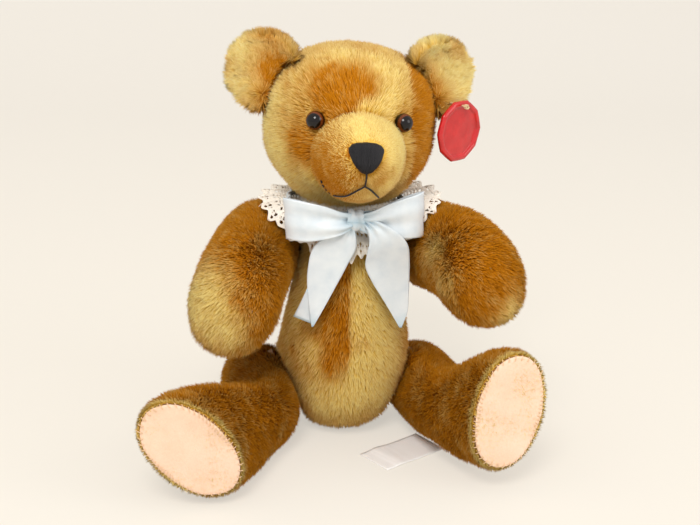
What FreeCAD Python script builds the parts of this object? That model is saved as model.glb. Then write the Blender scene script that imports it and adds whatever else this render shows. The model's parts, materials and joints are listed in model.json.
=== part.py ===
"""Jointed mohair teddy bear, sitting, about 225 mm tall to the crown and 350 mm when it stands.

The bear is sewn from five stuffed bags: a torso, a head, two arms and two legs. Each limb and the
head turn on a cotter-pin joint: two hardboard discs, one each side of the cloth, drawn together by
a split pin whose legs are curled over a washer inside the torso. It wears a lace collar and a
satin ribbon bow, and a plastic seal hangs from one ear.

Frame: millimetres, +Z up, the bear looks along -Y, its own left is +X. The origin is the middle of
the flat seat under the torso.
"""
import FreeCAD, Part
import math
import os

V = FreeCAD.Vector

# ---- driving dimensions -------------------------------------------------------------------------
GAP = 0.15                  # each side of a joint plane stands this far off it
WALL = 3.5                  # plush: woven backing with its pile pressed flat
FELT = 1.5                  # foot and paw felt
CARD = 1.6                  # cardboard insole behind the foot felt

# Radius and height of points down the side of each round bag.
TORSO_HEIGHT = 142.0        # seat to neck joint
TORSO_PROFILE = [(11.0, 0.0), (19.0, 4.0), (27.0, 10.0), (33.0, 19.0), (37.3, 33.0), (39.5, 53.0),
                 (38.3, 72.0), (34.8, 92.0), (30.8, 111.0), (26.0, 127.0), (19.0, TORSO_HEIGHT)]
HEAD_TOP = 228.5
HEAD_PROFILE = [(16.0, TORSO_HEIGHT - 1.5), (29.5, 148.5), (39.5, 156.5), (46.0, 168.0),
                (48.0, 184.0), (47.0, 198.0), (41.5, 211.5), (31.0, 221.5), (14.0, HEAD_TOP)]
HEAD_TILT = 1.0             # degrees, crown towards the bear's left
HEAD_TURN = -1.0            # degrees, nose towards the bear's right
HEAD_SHIFT = -1.5           # the head sits this far to one side of the neck pin

MUZZLE_CENTRE = V(0, -38, 176.3)
MUZZLE_PROFILE = [(25.0, 0.0), (24.0, 10.0), (20.5, 21.0), (14.5, 30.0), (6.0, 35.5)]
MUZZLE_LENGTH = 36.5
EYE_RADIUS = 5.2
EYE_PLACE = V(23.8, -40.9, 194.3)
EYE_AIM = V(0.40, -0.91, 0.12)
EYE_STEM = 1.6
EYE_SEAT = 0.9              # the eye sits this deep in the pile
# Half of the nose's outline, from the top: sideways, height.
NOSE_EDGE = [(0, 188.2), (5.2, 188.6), (8.7, 185.4), (8.0, 181.0), (4.6, 176.4), (0, 174.2)]
NOSE_THICK = 2.4
MOUTH_TOP = 174.5
MOUTH_FORK = 167.5
MOUTH_END = (10.5, 160.0)
THREAD = 1.2

EAR_RADIUS = 19.8
EAR_BOWL = 30.0             # radius of the bowl that the ear is cupped to
EAR_WALL = 7.0              # two layers of plush
EAR_PLACE = V(45.5, 4.0, 212.0)
EAR_AIM = V(0.40, -0.88, 0.05)

TAG_RADIUS = 18.0
TAG_THICK = 2.6
TAG_SIDES = 10
TAG_HOLE = 2.1
TAG_EYE = V(60.6, -11.5, 197.5)     # middle of the hole that the thread goes through
TAG_TURN = 36.0             # degrees, how far the seal faces out from straight ahead
LOOP_WIRE = 0.5             # radius of the seal's thread
LOOP_REACH = 14.0           # from the hole back into the ear

# A joint's place on the torso, and how its axis leans.
SHOULDER = V(26.5, 4.0, 105.5)
SHOULDER_SPLAY = {"left": 13.5, "right": 13.5}  # degrees, how far it points out from ahead
SHOULDER_ROLL = -11.0       # degrees, the joint face looks up
ARM_RAISE = {"left": 3.0, "right": -8.5}
HIP = V(32.5, 2.5, 32.5)
HIP_SPLAY = {"left": 4.8, "right": -1.5}
HIP_ROLL = 22.0             # degrees, the joint face looks down
LEG_RAISE = {"left": 3.4, "right": -1.6}
FOOT_TWIST = {"left": 13.0, "right": -21.0}
FOOT_BEND = {"left": (-5.5, 14.0), "right": (24.5, 21.0)}   # outwards, upwards at the sole
BEND_SHARE = {56.5: 0.25, 73.5: 0.55, 87.5: 0.8, 97.0: 0.93, 105.5: 1.0}

# Sections of a limb: along, outwards, up, half thickness, half height, share of the foot's twist.
ARM_SECTIONS = [(-25.0, 24, 0, 7, 8, 0), (-22.0, 24, 0, 14, 15, 0), (-14.0, 24, 0, 20.5, 22, 0),
                (0.0, 24, 1, 24, 25.5, 0), (22.0, 24, 3, 25, 25.5, 0), (44.0, 24, 5, 25, 26, 0),
                (62.0, 24, 3, 25, 26, 0), (77.0, 24, -3, 24, 25, 0), (87.0, 24, -7, 18, 19.5, 0),
                (92.5, 24, -9, 8, 9, 0)]
LEG_SECTIONS = [(-27.0, 20, -2, 8, 9, 0), (-24.0, 20, -2, 13.5, 15, 0), (-16.0, 20, -2.5, 19, 20.5, 0),
                (0.0, 20, -2.5, 21, 22.5, 0), (21.0, 20, -2, 21.5, 22.5, 0), (39.5, 21, -0.7, 20.5, 23, 0),
                (56.5, 24, 1, 20.5, 25.5, 0.1), (73.5, 28, 4, 21, 32, 0.5),
                (87.5, 31, 6, 22, 34.5, 0.9), (97.0, 33, 7, 22.5, 35.5, 1), (105.5, 34, 8, 22.5, 35, 1)]
SOLE = LEG_SECTIONS[-1][0]
PALM = (68.0, 24.0)         # middle of the paw felt: along the arm, outwards
PALM_HALF = (13.0, 10.0)

DISC_RADIUS = {"shoulder": 13.0, "hip": 15.0, "neck": 14.0}
DISC_THICK = 3.0
WASHER_RADIUS = 7.5
WASHER_THICK = 1.0
PIN_RADIUS = 1.6
PIN_SPLIT = 0.2             # slit between the two legs of a split pin
PIN_PLAY = 0.08             # running clearance all round the pin
CURL_INNER = 2.0            # inside radius of a curled leg
EYE_INNER = 2.4             # inside radius of the pin's eye
CURL_TURN = 225.0           # degrees that each leg is curled through

RIBBON_THICK = 0.8
BOW_MIDDLE = V(-2.0, -43.0, 139.5)
LACE_THICK = 1.2
NECK_RADIUS = 24.5          # inner edge of the collar
NECK_HEIGHT = 138.0
# Outer edge of the collar, front to back: degrees round the neck, radius, height.
COLLAR_EDGE = [(0, 39.3, 116), (25, 40.5, 118.5), (45, 45, 133), (65, 50, 141.5), (90, 52, 144),
               (115, 50, 143.5), (150, 45, 137), (180, 44, 132)]
# Sections of a bow loop: out from the knot, y, z, half depth, half height.
BOW_LOOP = [(2.5, -44.5, 139, 2.6, 4.2), (10, -44.5, 138.6, 3.4, 7), (24, -41.5, 138.6, 4.2, 9.4),
            (36, -38.5, 140.2, 3.6, 8.4), (39.5, -37.5, 140.4, 2.4, 7.8)]
BAND = (33.5, -8.0, 3.6, 140.6)     # ribbon round the neck: radius, middle y, height, lower edge
TAIL_FRONT = -41.4
TAILS = {"right": [(-6, 137), (-25.1, 125.6), (-25.6, 119.8), (-25, 102), (-32.5, 84.4),
                   (-22.4, 80.5), (-22, 77.3), (-18.1, 78.4), (0.4, 129), (-1, 137)],
         "left": [(-0.6, 137), (1.6, 128), (5.4, 114.3), (27.7, 75.1), (32.9, 82.1), (31.2, 120),
                  (25, 129), (4, 137)]}
LABEL_SIZE = (24.0, 44.0)
LABEL_THICK = 0.5
LABEL_CORNER = V(43.0, -25.5, 0)    # where the label's edge nearest the body meets the leg

# Where each layer of a joint lies, measured along its axis from the joint plane.
DISC_FACE = GAP + WALL
WASHER_FACE = DISC_FACE + DISC_THICK
PIN_FACE = WASHER_FACE + WASHER_THICK
CURL_OUTER = CURL_INNER + PIN_RADIUS
CURL_DEPTH = PIN_FACE + 0.2 + CURL_OUTER
POCKET_RADIUS = CURL_INNER + 2 * PIN_RADIUS + CURL_INNER + 0.8
POCKET_DEPTH = CURL_DEPTH + CURL_OUTER + 0.8

os.makedirs("parts", exist_ok=True)
FAR = 400.0


def save(name, shape):
    """Writes one node, after dropping a wrapper that holds a single solid."""
    solids = shape.Solids
    shape = solids[0] if len(solids) == 1 else Part.makeCompound(solids)
    shape.exportStep("parts/" + name + ".step")
    print("%-24s solids %2d  volume %9.1f  valid %s"
          % (name, len(solids), shape.Volume, shape.isValid()), flush=True)


# ---- shapes that several pieces use -------------------------------------------------------------
def smooth_line(points, closed=False):
    curve = Part.BSplineCurve()
    curve.interpolate(Points=[V(*p) for p in points], PeriodicFlag=closed)
    return curve.toShape()


def turned(profile, wall=0.0):
    """A body of revolution about Z with flat ends; wall shrinks it evenly from its surface."""
    points = [(r - wall, 0, z) for r, z in profile]
    points[0] = (profile[0][0] - 0.5 * wall, 0, profile[0][1] + wall)
    points[-1] = (profile[-1][0] - 0.5 * wall, 0, profile[-1][1] - wall)
    low = V(0, 0, points[0][2])
    high = V(0, 0, points[-1][2])
    outline = [Part.makeLine(low, V(*points[0])), smooth_line(points),
               Part.makeLine(V(*points[-1]), high), Part.makeLine(high, low)]
    return Part.Face(Part.Wire(outline)).revolve(V(), V(0, 0, 1), 360)


def oval(along, out, up, half_out, half_up, twist=0.0):
    """A closed smooth ring across a limb, in the limb's own frame."""
    turn = math.radians(twist)
    points = []
    for step in range(12):
        y = half_out * math.cos(step * math.pi / 6)
        z = half_up * math.sin(step * math.pi / 6)
        points.append((along, out + y * math.cos(turn) - z * math.sin(turn),
                       up + z * math.cos(turn) + y * math.sin(turn)))
    return Part.Wire(smooth_line(points, closed=True))


def bent(sections, bend):
    """The sections of a leg whose foot is bent outwards and upwards."""
    moved = []
    for along, out, up, half_out, half_up, share in sections:
        part = BEND_SHARE.get(along, 0.0)
        moved.append((along, out + part * bend[0], up + part * bend[1], half_out, half_up, share))
    return moved


def lofted(sections, wall=0.0, twist=0.0, open_end=False):
    """A limb's bag through its sections; wall shrinks it evenly from its surface."""
    rings = []
    for index, (along, out, up, half_out, half_up, share) in enumerate(sections):
        if index == 0:
            along = along + wall
        if index == len(sections) - 1:
            along = along + (2.0 if open_end else -wall)
        shrink = wall * (0.5 if half_out < 10 else 1.0)
        rings.append(oval(along, out, up, half_out - shrink, half_up - shrink, twist * share))
    return Part.makeLoft(rings, True, False)


def beyond(place, offset):
    """Everything on the outer side of a joint plane, as a large block."""
    block = Part.makeBox(FAR, FAR, FAR, V(-FAR / 2, -FAR / 2, offset))
    block.Placement = place.multiply(block.Placement)
    return block


def drum(place, radius, low, high):
    """A cylinder on a joint's axis between two distances from the joint plane."""
    body = Part.makeCylinder(radius, high - low, V(0, 0, low))
    body.Placement = place.multiply(body.Placement)
    return body


def strip(lower, upper, shift):
    """A thin solid between two closed edges and the same two edges moved by shift."""
    back = [edge.copy() for edge in (lower, upper)]
    for edge in back:
        edge.translate(shift)
    faces = [Part.makeRuledSurface(lower, upper), Part.makeRuledSurface(back[0], back[1]),
             Part.makeRuledSurface(lower, back[0]), Part.makeRuledSurface(upper, back[1])]
    shell = Part.Shell([face for item in faces for face in item.Faces])
    body = Part.Solid(shell)
    if body.Volume < 0:
        body.reverse()
    return body


def plate(points, shift):
    """A flat sheet of cloth: a polygon given thickness by shift."""
    corners = [V(*p) for p in points]
    return Part.Face(Part.makePolygon(corners + [corners[0]])).extrude(shift)


def other_side(shape):
    return shape.mirror(V(), V(1, 0, 0))


def keep(shape):
    return shape


# ---- joint frames -------------------------------------------------------------------------------
def placed(origin, x_axis, y_axis, z_axis):
    return FreeCAD.Placement(FreeCAD.Matrix(
        x_axis.x, y_axis.x, z_axis.x, origin.x, x_axis.y, y_axis.y, z_axis.y, origin.y,
        x_axis.z, y_axis.z, z_axis.z, origin.z, 0, 0, 0, 1))


def limb_axes(splay, roll):
    """Along, outward and upward directions of a left limb that points straight ahead."""
    s = math.radians(splay)
    r = math.radians(roll)
    outward = V(math.cos(r) * math.cos(s), math.cos(r) * math.sin(s), -math.sin(r))
    along = V(math.sin(s), -math.cos(s), 0)
    return along, outward, along.cross(outward)


def joint_place(origin, splay, roll):
    """Placement whose Z is the joint axis, pointing out of the torso."""
    along, outward, upward = limb_axes(splay, roll)
    return placed(origin, upward, along, outward)


def limb_place(origin, splay, roll, lift):
    """Placement of a left limb: X along it, Y out of the torso, Z up, raised by lift degrees."""
    along, outward, upward = limb_axes(splay, roll)
    c = math.cos(math.radians(lift))
    s = math.sin(math.radians(lift))
    return placed(origin, along * c + upward * s, outward, upward * c - along * s)


def aimed(origin, aim):
    """Placement whose Z points along aim."""
    return FreeCAD.Placement(origin, FreeCAD.Rotation(V(0, 0, 1), aim))


NECK_PLACE = FreeCAD.Placement(V(0, 0, TORSO_HEIGHT), FreeCAD.Rotation())
NECK_POINT = V(0, 0, TORSO_HEIGHT)
HEAD_SET = FreeCAD.Placement(V(HEAD_SHIFT, 0, 0), FreeCAD.Rotation()).multiply(
    FreeCAD.Placement(V(), FreeCAD.Rotation(V(0, 0, 1), HEAD_TURN), NECK_POINT)).multiply(
    FreeCAD.Placement(V(), FreeCAD.Rotation(V(0, 1, 0), HEAD_TILT), NECK_POINT))


def set_head(shape):
    """Moves a piece of the head to where the head sits on the neck."""
    moved = shape.copy()
    moved.Placement = HEAD_SET.multiply(moved.Placement)
    return moved


# ---- the cotter-pin joint -----------------------------------------------------------------------
def half_round(flat_at, side, height):
    """Half-round wire section at a height, its flat at x = flat_at, bulging towards side."""
    radius = PIN_RADIUS - PIN_SPLIT / 2
    top = V(flat_at, radius, height)
    low = V(flat_at, -radius, height)
    arc = Part.Arc(top, V(flat_at + side * radius, 0, height), low).toShape()
    return Part.Face(Part.Wire([arc, Part.makeLine(low, top)]))


def split_pin(place):
    """A cotter pin: its eye on the limb side, each leg curled outwards on the torso side."""
    eye_middle = PIN_FACE + EYE_INNER + PIN_RADIUS
    legs = []
    for side in (1, -1):
        section = half_round(side * PIN_SPLIT / 2, side, -CURL_DEPTH)
        leg = section.extrude(V(0, 0, CURL_DEPTH + eye_middle - EYE_INNER))
        curl = section.revolve(V(side * (CURL_INNER + PIN_RADIUS), 0, -CURL_DEPTH), V(0, -side, 0),
                               CURL_TURN)
        legs.append(leg.fuse(curl))
    eye = half_round(EYE_INNER, 1, eye_middle).revolve(V(0, 0, eye_middle), V(0, 1, 0), 360)
    pin = legs[0].fuse([legs[1], eye])
    pin.Placement = place.multiply(pin.Placement)
    return pin


def ring_plate(place, radius, low, high):
    """A disc or washer with a running hole for the pin."""
    return drum(place, radius, low, high).cut(
        drum(place, PIN_RADIUS + PIN_PLAY, low - 1, high + 1))


def joint_room(place, kind, side):
    """The space that the hardware takes in the stuffing: side -1 in the torso, 1 in the limb."""
    room = None
    for radius, low, high in ((DISC_RADIUS[kind] + 0.2, DISC_FACE - 2, WASHER_FACE + 0.1),
                              (POCKET_RADIUS, WASHER_FACE, POCKET_DEPTH)):
        low, high = sorted((side * low, side * high))
        layer = drum(place, radius, low, high)
        room = layer if room is None else room.fuse(layer)
    return room


def joint_cut(place, kind, side):
    """What a joint takes out of the plush: the seat of its disc and the pin hole."""
    low, high = sorted((side * DISC_FACE, side * (WASHER_FACE + 4)))
    seat = drum(place, DISC_RADIUS[kind] + 0.2, low, high)
    low, high = sorted((-side * 1.0, side * (DISC_FACE + 1)))
    return seat.fuse(drum(place, PIN_RADIUS + PIN_PLAY, low, high))


def save_limb_hardware(place, kind, name, mirrored):
    """Writes the pieces of a joint that turn with the limb or head."""
    pieces = {"disc": ring_plate(place, DISC_RADIUS[kind], DISC_FACE, WASHER_FACE),
              "washer": ring_plate(place, WASHER_RADIUS, WASHER_FACE, PIN_FACE),
              "cotter_pin": split_pin(place)}
    for piece, shape in pieces.items():
        save(name + "_" + piece, other_side(shape) if mirrored else shape)


# ---- torso --------------------------------------------------------------------------------------
def torso_joints():
    """Kind, placement and mover of every joint on the torso; the mover takes it to its side."""
    joints = [("neck", NECK_PLACE, keep)]
    for side, mover in (("left", keep), ("right", other_side)):
        joints.append(("shoulder", joint_place(SHOULDER, SHOULDER_SPLAY[side], SHOULDER_ROLL), mover))
        joints.append(("hip", joint_place(HIP, HIP_SPLAY[side], HIP_ROLL), mover))
    return joints


def build_torso():
    outer = turned(TORSO_PROFILE[:-1] + [(TORSO_PROFILE[-1][0], TORSO_HEIGHT - GAP)])
    inner = turned(TORSO_PROFILE, WALL)
    for kind, place, mover in torso_joints():
        if kind != "neck":
            outer = outer.cut(mover(beyond(place, -GAP)))
            inner = inner.cut(mover(beyond(place, -DISC_FACE)))
    cover = outer.cut(inner)
    stuffing = inner
    layers = {}
    for kind, place, mover in torso_joints():
        cover = cover.cut(mover(joint_cut(place, kind, -1)))
        stuffing = stuffing.cut(mover(joint_room(place, kind, -1)))
        disc = ring_plate(place, DISC_RADIUS[kind], -WASHER_FACE, -DISC_FACE)
        washer = ring_plate(place, WASHER_RADIUS, -PIN_FACE, -WASHER_FACE)
        layers.setdefault(kind + "_torso_disc", []).append(mover(disc))
        layers.setdefault(kind + "_torso_washer", []).append(mover(washer))
    save("torso_cover", cover)
    save("torso_stuffing", stuffing)
    for name, shapes in layers.items():
        save(name + ("s" if len(shapes) > 1 else ""), Part.makeCompound(shapes))


# ---- limbs --------------------------------------------------------------------------------------
LIMB_JOINT = placed(V(), V(0, 0, 1), V(1, 0, 0), V(0, 1, 0))


def slab(low, high):
    """The part of a limb's frame between two distances along it."""
    return Part.makeBox(high - low, FAR, FAR, V(low, -FAR / 2, -FAR / 2))


def inner_side(offset):
    """The torso's side of a limb's joint plane, as far as the ankle or wrist."""
    return Part.makeBox(FAR, FAR, FAR, V(70 - FAR, offset - FAR, -FAR / 2))


def build_arm(side):
    place = limb_place(SHOULDER, SHOULDER_SPLAY[side], SHOULDER_ROLL, ARM_RAISE[side])
    outer = lofted(ARM_SECTIONS).cut(inner_side(GAP))
    inner = lofted(ARM_SECTIONS, WALL).cut(inner_side(DISC_FACE))
    oval_edge = Part.Ellipse(V(PALM[0], PALM[1], -60), PALM_HALF[0], PALM_HALF[1]).toShape()
    palm = Part.Face(Part.Wire(oval_edge)).extrude(V(0, 0, 55))
    felt = outer.common(palm).cut(lofted(ARM_SECTIONS, FELT))
    cover = outer.cut([inner, felt, joint_cut(LIMB_JOINT, "shoulder", 1)])
    stuffing = inner.cut(joint_room(LIMB_JOINT, "shoulder", 1))
    return place, {"arm_cover": cover, "arm_stuffing": stuffing, "paw_pad": felt}


def build_leg(side):
    place = limb_place(HIP, HIP_SPLAY[side], HIP_ROLL, LEG_RAISE[side])
    twist = FOOT_TWIST[side]
    sections = bent(LEG_SECTIONS, FOOT_BEND[side])
    outer = lofted(sections, 0.0, twist).cut(inner_side(GAP))
    inner = lofted(sections, WALL, twist, open_end=True).cut(inner_side(DISC_FACE))
    felt_at = SOLE - 0.6 - FELT
    card_at = felt_at - CARD
    cover = outer.cut([inner, joint_cut(LIMB_JOINT, "hip", 1)])
    stuffing = inner.cut([slab(card_at, card_at + 60), joint_room(LIMB_JOINT, "hip", 1)])
    return place, {"leg_cover": cover, "leg_stuffing": stuffing,
                   "insole": inner.common(slab(card_at, felt_at)),
                   "foot_pad": inner.common(slab(felt_at, felt_at + FELT))}


def build_limbs():
    for build, kind, name in ((build_arm, "shoulder", "arm"), (build_leg, "hip", "leg")):
        for side in ("left", "right"):
            place, pieces = build(side)
            for piece, shape in pieces.items():
                shape.Placement = place.multiply(shape.Placement)
                pieces[piece] = other_side(shape) if side == "right" else shape
                save(side + "_" + piece, pieces[piece])
            save_limb_hardware(place.multiply(LIMB_JOINT), kind, side + "_" + name, side == "right")
            if (side, name) == ("left", "leg"):
                build_label(pieces["leg_cover"])


def build_label(leg_cover):
    """Cloth label sewn into the left leg's lower seam, lying on the table."""
    width, length = LABEL_SIZE
    run = V(-0.85, -0.53, 0)
    across = V(-0.53, 0.85, 0)
    corner = LABEL_CORNER
    points = [corner, corner + run * length, corner + run * length - across * width,
              corner - across * width]
    label = plate([(p.x, p.y, 0.2) for p in points], V(0, 0, LABEL_THICK))
    save("side_label", label.cut(leg_cover))


# ---- head ---------------------------------------------------------------------------------------
def muzzle_body(wall=0.0):
    """The short round snout, a body of revolution that looks along -Y."""
    points = [(r - wall, 0, along) for r, along in MUZZLE_PROFILE]
    tip = MUZZLE_LENGTH - wall
    points[-1] = (MUZZLE_PROFILE[-1][0], 0, MUZZLE_PROFILE[-1][1] - wall)
    curve = Part.BSplineCurve()
    curve.interpolate(Points=[V(*p) for p in points] + [V(0, 0, tip)],
                      Tangents=[V(0, 0, 1)] + [V()] * (len(points) - 1) + [V(-1, 0, 0)],
                      TangentFlags=[True] + [False] * (len(points) - 1) + [True])
    back = V(0, 0, -20)
    side = V(points[0][0], 0, -20)
    wire = Part.Wire([Part.makeLine(back, side), Part.makeLine(side, V(*points[0])),
                      curve.toShape(), Part.makeLine(V(0, 0, tip), back)])
    body = Part.Face(wire).revolve(V(), V(0, 0, 1), 360)
    body.Placement = FreeCAD.Placement(MUZZLE_CENTRE, FreeCAD.Rotation(V(1, 0, 0), 90))
    return body


def on_muzzle(outlines, thick):
    """Threads laid on the snout: closed outlines in front of it, given thickness over its surface."""
    prisms = [Part.Face(Part.Wire(outline)).extrude(V(0, 90, 0)) for outline in outlines]
    stitched = prisms[0].fuse(prisms[1:]) if len(prisms) > 1 else prisms[0]
    return muzzle_body(-thick).common(stitched).cut(muzzle_body())


def nose_outline():
    half = [(x, -120, z) for x, z in NOSE_EDGE]
    return smooth_line(half + [(-x, y, z) for x, y, z in half[-2:0:-1]], True)


def stroke(start, end):
    """A stitch of thread between two points in (x, z)."""
    run = V(end[0] - start[0], end[1] - start[1], 0)
    run.normalize()
    side = V(-run.y, run.x, 0) * (THREAD / 2)
    ends = [(start, 1), (end, 1), (end, -1), (start, -1), (start, 1)]
    return Part.makePolygon([V(p[0] + k * side.x, -120, p[1] + k * side.y) for p, k in ends])


def build_eye():
    """Eye button with its stem, and the lock washer behind the cloth."""
    place = aimed(EYE_PLACE, EYE_AIM)
    washer_at = -WALL - 2.2
    back = Part.makeCylinder(EYE_STEM, 12.0, V(0, 0, washer_at - 1.6))
    dome = Part.makeSphere(EYE_RADIUS).cut(
        Part.makeBox(40, 40, 40, V(-20, -20, -40 - EYE_SEAT)))
    eye = dome.fuse(back.common(Part.makeBox(40, 40, 40, V(-20, -20, -40))))
    washer = Part.makeCylinder(5.5, 1.2, V(0, 0, washer_at)).cut(
        Part.makeCylinder(EYE_STEM, 4, V(0, 0, washer_at - 1)))
    for shape in (eye, washer):
        shape.Placement = place.multiply(shape.Placement)
    return eye, washer


def build_ear():
    """A cupped disc of two layers of plush; its inner edge is cut to the head later."""
    aim = V(EAR_AIM)
    aim.normalize()
    bowl = EAR_PLACE + aim * EAR_BOWL
    shell = Part.makeSphere(EAR_BOWL + EAR_WALL / 2, bowl).cut(
        Part.makeSphere(EAR_BOWL - EAR_WALL / 2, bowl))
    disc = Part.makeCylinder(EAR_RADIUS, 26, EAR_PLACE - aim * 8, aim)
    return shell.common(disc)


def build_tag():
    """A moulded seal with a raised rim, and the knotted thread that it hangs and swings on."""
    turn = math.radians(TAG_TURN)
    normal = V(math.sin(turn), -math.cos(turn), 0)
    across = V(math.cos(turn), math.sin(turn), 0)
    place = placed(TAG_EYE, across, V(0, 0, 1), across.cross(V(0, 0, 1)))
    drop = TAG_RADIUS - 3.4
    rim = []
    for step in range(TAG_SIDES + 1):
        turn = (step + 0.5) * 2 * math.pi / TAG_SIDES
        rim.append(V(TAG_RADIUS * math.cos(turn), TAG_RADIUS * math.sin(turn) - drop,
                     -TAG_THICK / 2))
    tag = Part.Face(Part.makePolygon(rim)).extrude(V(0, 0, TAG_THICK))
    tag = tag.makeFillet(1.6, [edge for edge in tag.Edges
                               if abs(edge.Vertexes[0].Z - edge.Vertexes[-1].Z) > 1])
    for face in (-TAG_THICK / 2 - 1, TAG_THICK / 2 - 0.5):
        tag = tag.cut(Part.makeCylinder(TAG_RADIUS - 4.6, 1.5, V(0, -drop - 0.4, face)))
    tag = tag.cut(Part.makeCylinder(TAG_HOLE, 10, V(0, 0, -5)))
    tag.Placement = place.multiply(tag.Placement)
    thread = Part.makeCylinder(LOOP_WIRE, LOOP_REACH + 4.6, TAG_EYE - normal * LOOP_REACH, normal)
    thread = thread.fuse(Part.makeSphere(1.4, TAG_EYE + normal * 4.6))
    return tag, thread


def build_head():
    floor = Part.makeBox(FAR, FAR, FAR, V(-FAR / 2, -FAR / 2, TORSO_HEIGHT + GAP - FAR))
    base = Part.makeBox(FAR, FAR, FAR, V(-FAR / 2, -FAR / 2, TORSO_HEIGHT + DISC_FACE - FAR))
    skull = turned(HEAD_PROFILE)
    hollow = turned(HEAD_PROFILE, WALL)
    snout = muzzle_body()
    snout_hollow = muzzle_body(WALL)
    eye, washer = build_eye()
    eyes = [eye, other_side(eye)]
    washers = [washer, other_side(washer)]
    tag, thread = build_tag()
    loose = HEAD_SET.inverse()
    thread.Placement = loose.multiply(thread.Placement)
    ear = build_ear().cut(skull)
    cover = skull.cut([hollow, snout_hollow] + eyes)
    snout_cover = snout.cut([skull, snout_hollow] + eyes)
    stuffing = hollow.fuse(snout_hollow).cut(eyes + washers)
    nose = on_muzzle([nose_outline()], NOSE_THICK)
    mouth = on_muzzle([stroke((0, MOUTH_TOP), (0, MOUTH_FORK - 0.5)),
                       stroke((0.3, MOUTH_FORK + 0.2), (-MOUTH_END[0], MOUTH_END[1])),
                       stroke((-0.3, MOUTH_FORK + 0.2), MOUTH_END)], THREAD * 0.8).cut(nose)
    pieces = {"muzzle_cover": snout_cover, "left_eye": eyes[0], "right_eye": eyes[1],
              "eye_washers": Part.makeCompound(washers), "nose_stitching": nose,
              "mouth_stitching": mouth, "left_ear": ear.cut(thread), "right_ear": other_side(ear)}
    for name, shape in pieces.items():
        save(name, set_head(shape))
    save("head_cover", set_head(cover).cut([floor, joint_cut(NECK_PLACE, "neck", 1)]))
    save("head_stuffing", set_head(stuffing).cut([base, joint_room(NECK_PLACE, "neck", 1)]))
    save("tag_thread", set_head(thread))
    save("ear_seal", tag)
    save_limb_hardware(NECK_PLACE, "neck", "neck", False)


# ---- collar and bow -----------------------------------------------------------------------------
def round_neck(turn, radius, height):
    """A point around the neck; turn is measured from straight ahead."""
    a = math.radians(turn)
    return (radius * math.sin(a), -radius * math.cos(a), height)


def build_collar():
    inner = smooth_line([round_neck(t, NECK_RADIUS, NECK_HEIGHT) for t in range(0, 360, 15)], True)
    edge = [(t, r, z) for t, r, z in COLLAR_EDGE]
    edge = edge + [(360 - t, r, z) for t, r, z in reversed(COLLAR_EDGE[1:-1])]
    outer = smooth_line([round_neck(*p) for p in edge], True)
    save("lace_collar", strip(inner, outer, V(0, 0, -LACE_THICK)))


def bow_loop(side):
    """One loop of the bow, flat at its outer end and gathered at the knot."""
    rings = []
    for out, y, z, half_y, half_z in BOW_LOOP:
        points = []
        for step in range(12):
            a = step * math.pi / 6
            points.append((BOW_MIDDLE.x + side * out, y + half_y * math.cos(a),
                           z + half_z * math.sin(a)))
        rings.append(Part.Wire(smooth_line(points, True)))
    return Part.makeLoft(rings, True, False)


def build_bow():
    knot = Part.makeCylinder(4.4, 9.5, BOW_MIDDLE - V(0, 0, 4.7))
    knot = knot.makeFillet(2.0, [e for e in knot.Edges if e.isClosed()])
    band = Part.makeCylinder(BAND[0], BAND[2], V(BOW_MIDDLE.x, BAND[1], BAND[3])).cut(
        Part.makeCylinder(BAND[0] - RIBBON_THICK, BAND[2], V(BOW_MIDDLE.x, BAND[1], BAND[3])))
    loops = {"right": bow_loop(-1).cut(knot), "left": bow_loop(1).cut(knot)}
    save("bow_knot", knot)
    save("ribbon_band", band.cut([knot] + list(loops.values())))
    for name, outline in TAILS.items():
        tail = plate([(x, TAIL_FRONT, z) for x, z in outline], V(0, RIBBON_THICK, 0))
        save("bow_" + name + "_tail", tail.cut([knot] + list(loops.values())))
        save("bow_" + name + "_loop", loops[name])


build_torso()
build_limbs()
build_head()
build_collar()
build_bow()
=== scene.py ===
# %% [markdown]
# A jointed teddy bear, sitting, about 23 cm tall. Every piece of it is a separate thing, as on
# the real bear: six stuffed covers of mohair plush are held together by hidden disc joints, and
# the face, the lace collar, the satin bow, the felt soles and the hanging seal are fastened to
# them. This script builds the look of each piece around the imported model, which gives the places
# and sizes.

# %% The frame
import json
import math

import bmesh
import bpy
import numpy as np
from mathutils import Matrix, Vector
from mathutils.bvhtree import BVHTree


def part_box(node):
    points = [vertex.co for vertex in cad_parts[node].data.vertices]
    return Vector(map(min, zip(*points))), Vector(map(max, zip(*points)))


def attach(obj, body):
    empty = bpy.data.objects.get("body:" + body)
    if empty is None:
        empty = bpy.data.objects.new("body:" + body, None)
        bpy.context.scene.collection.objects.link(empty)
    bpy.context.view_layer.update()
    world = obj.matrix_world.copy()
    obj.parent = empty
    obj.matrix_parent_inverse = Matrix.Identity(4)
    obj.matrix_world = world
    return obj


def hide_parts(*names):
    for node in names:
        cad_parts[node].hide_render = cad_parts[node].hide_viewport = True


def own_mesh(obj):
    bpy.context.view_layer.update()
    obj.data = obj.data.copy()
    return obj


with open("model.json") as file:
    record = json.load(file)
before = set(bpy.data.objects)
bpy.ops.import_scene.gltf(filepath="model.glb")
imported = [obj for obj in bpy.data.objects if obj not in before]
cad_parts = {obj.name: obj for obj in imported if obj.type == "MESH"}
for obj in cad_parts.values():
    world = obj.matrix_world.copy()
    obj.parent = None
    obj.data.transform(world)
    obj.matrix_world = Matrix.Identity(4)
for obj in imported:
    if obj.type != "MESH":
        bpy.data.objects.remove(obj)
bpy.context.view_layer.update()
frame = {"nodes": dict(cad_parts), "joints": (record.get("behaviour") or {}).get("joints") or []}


def mm(*place):
    """A point or size given in millimetres, as a vector in metres."""
    return Vector(place) / 1000


def unit(v):
    """Vectors in rows, each made one long."""
    return v / np.maximum(np.linalg.norm(v, axis=-1, keepdims=True), 1e-12)

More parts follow.
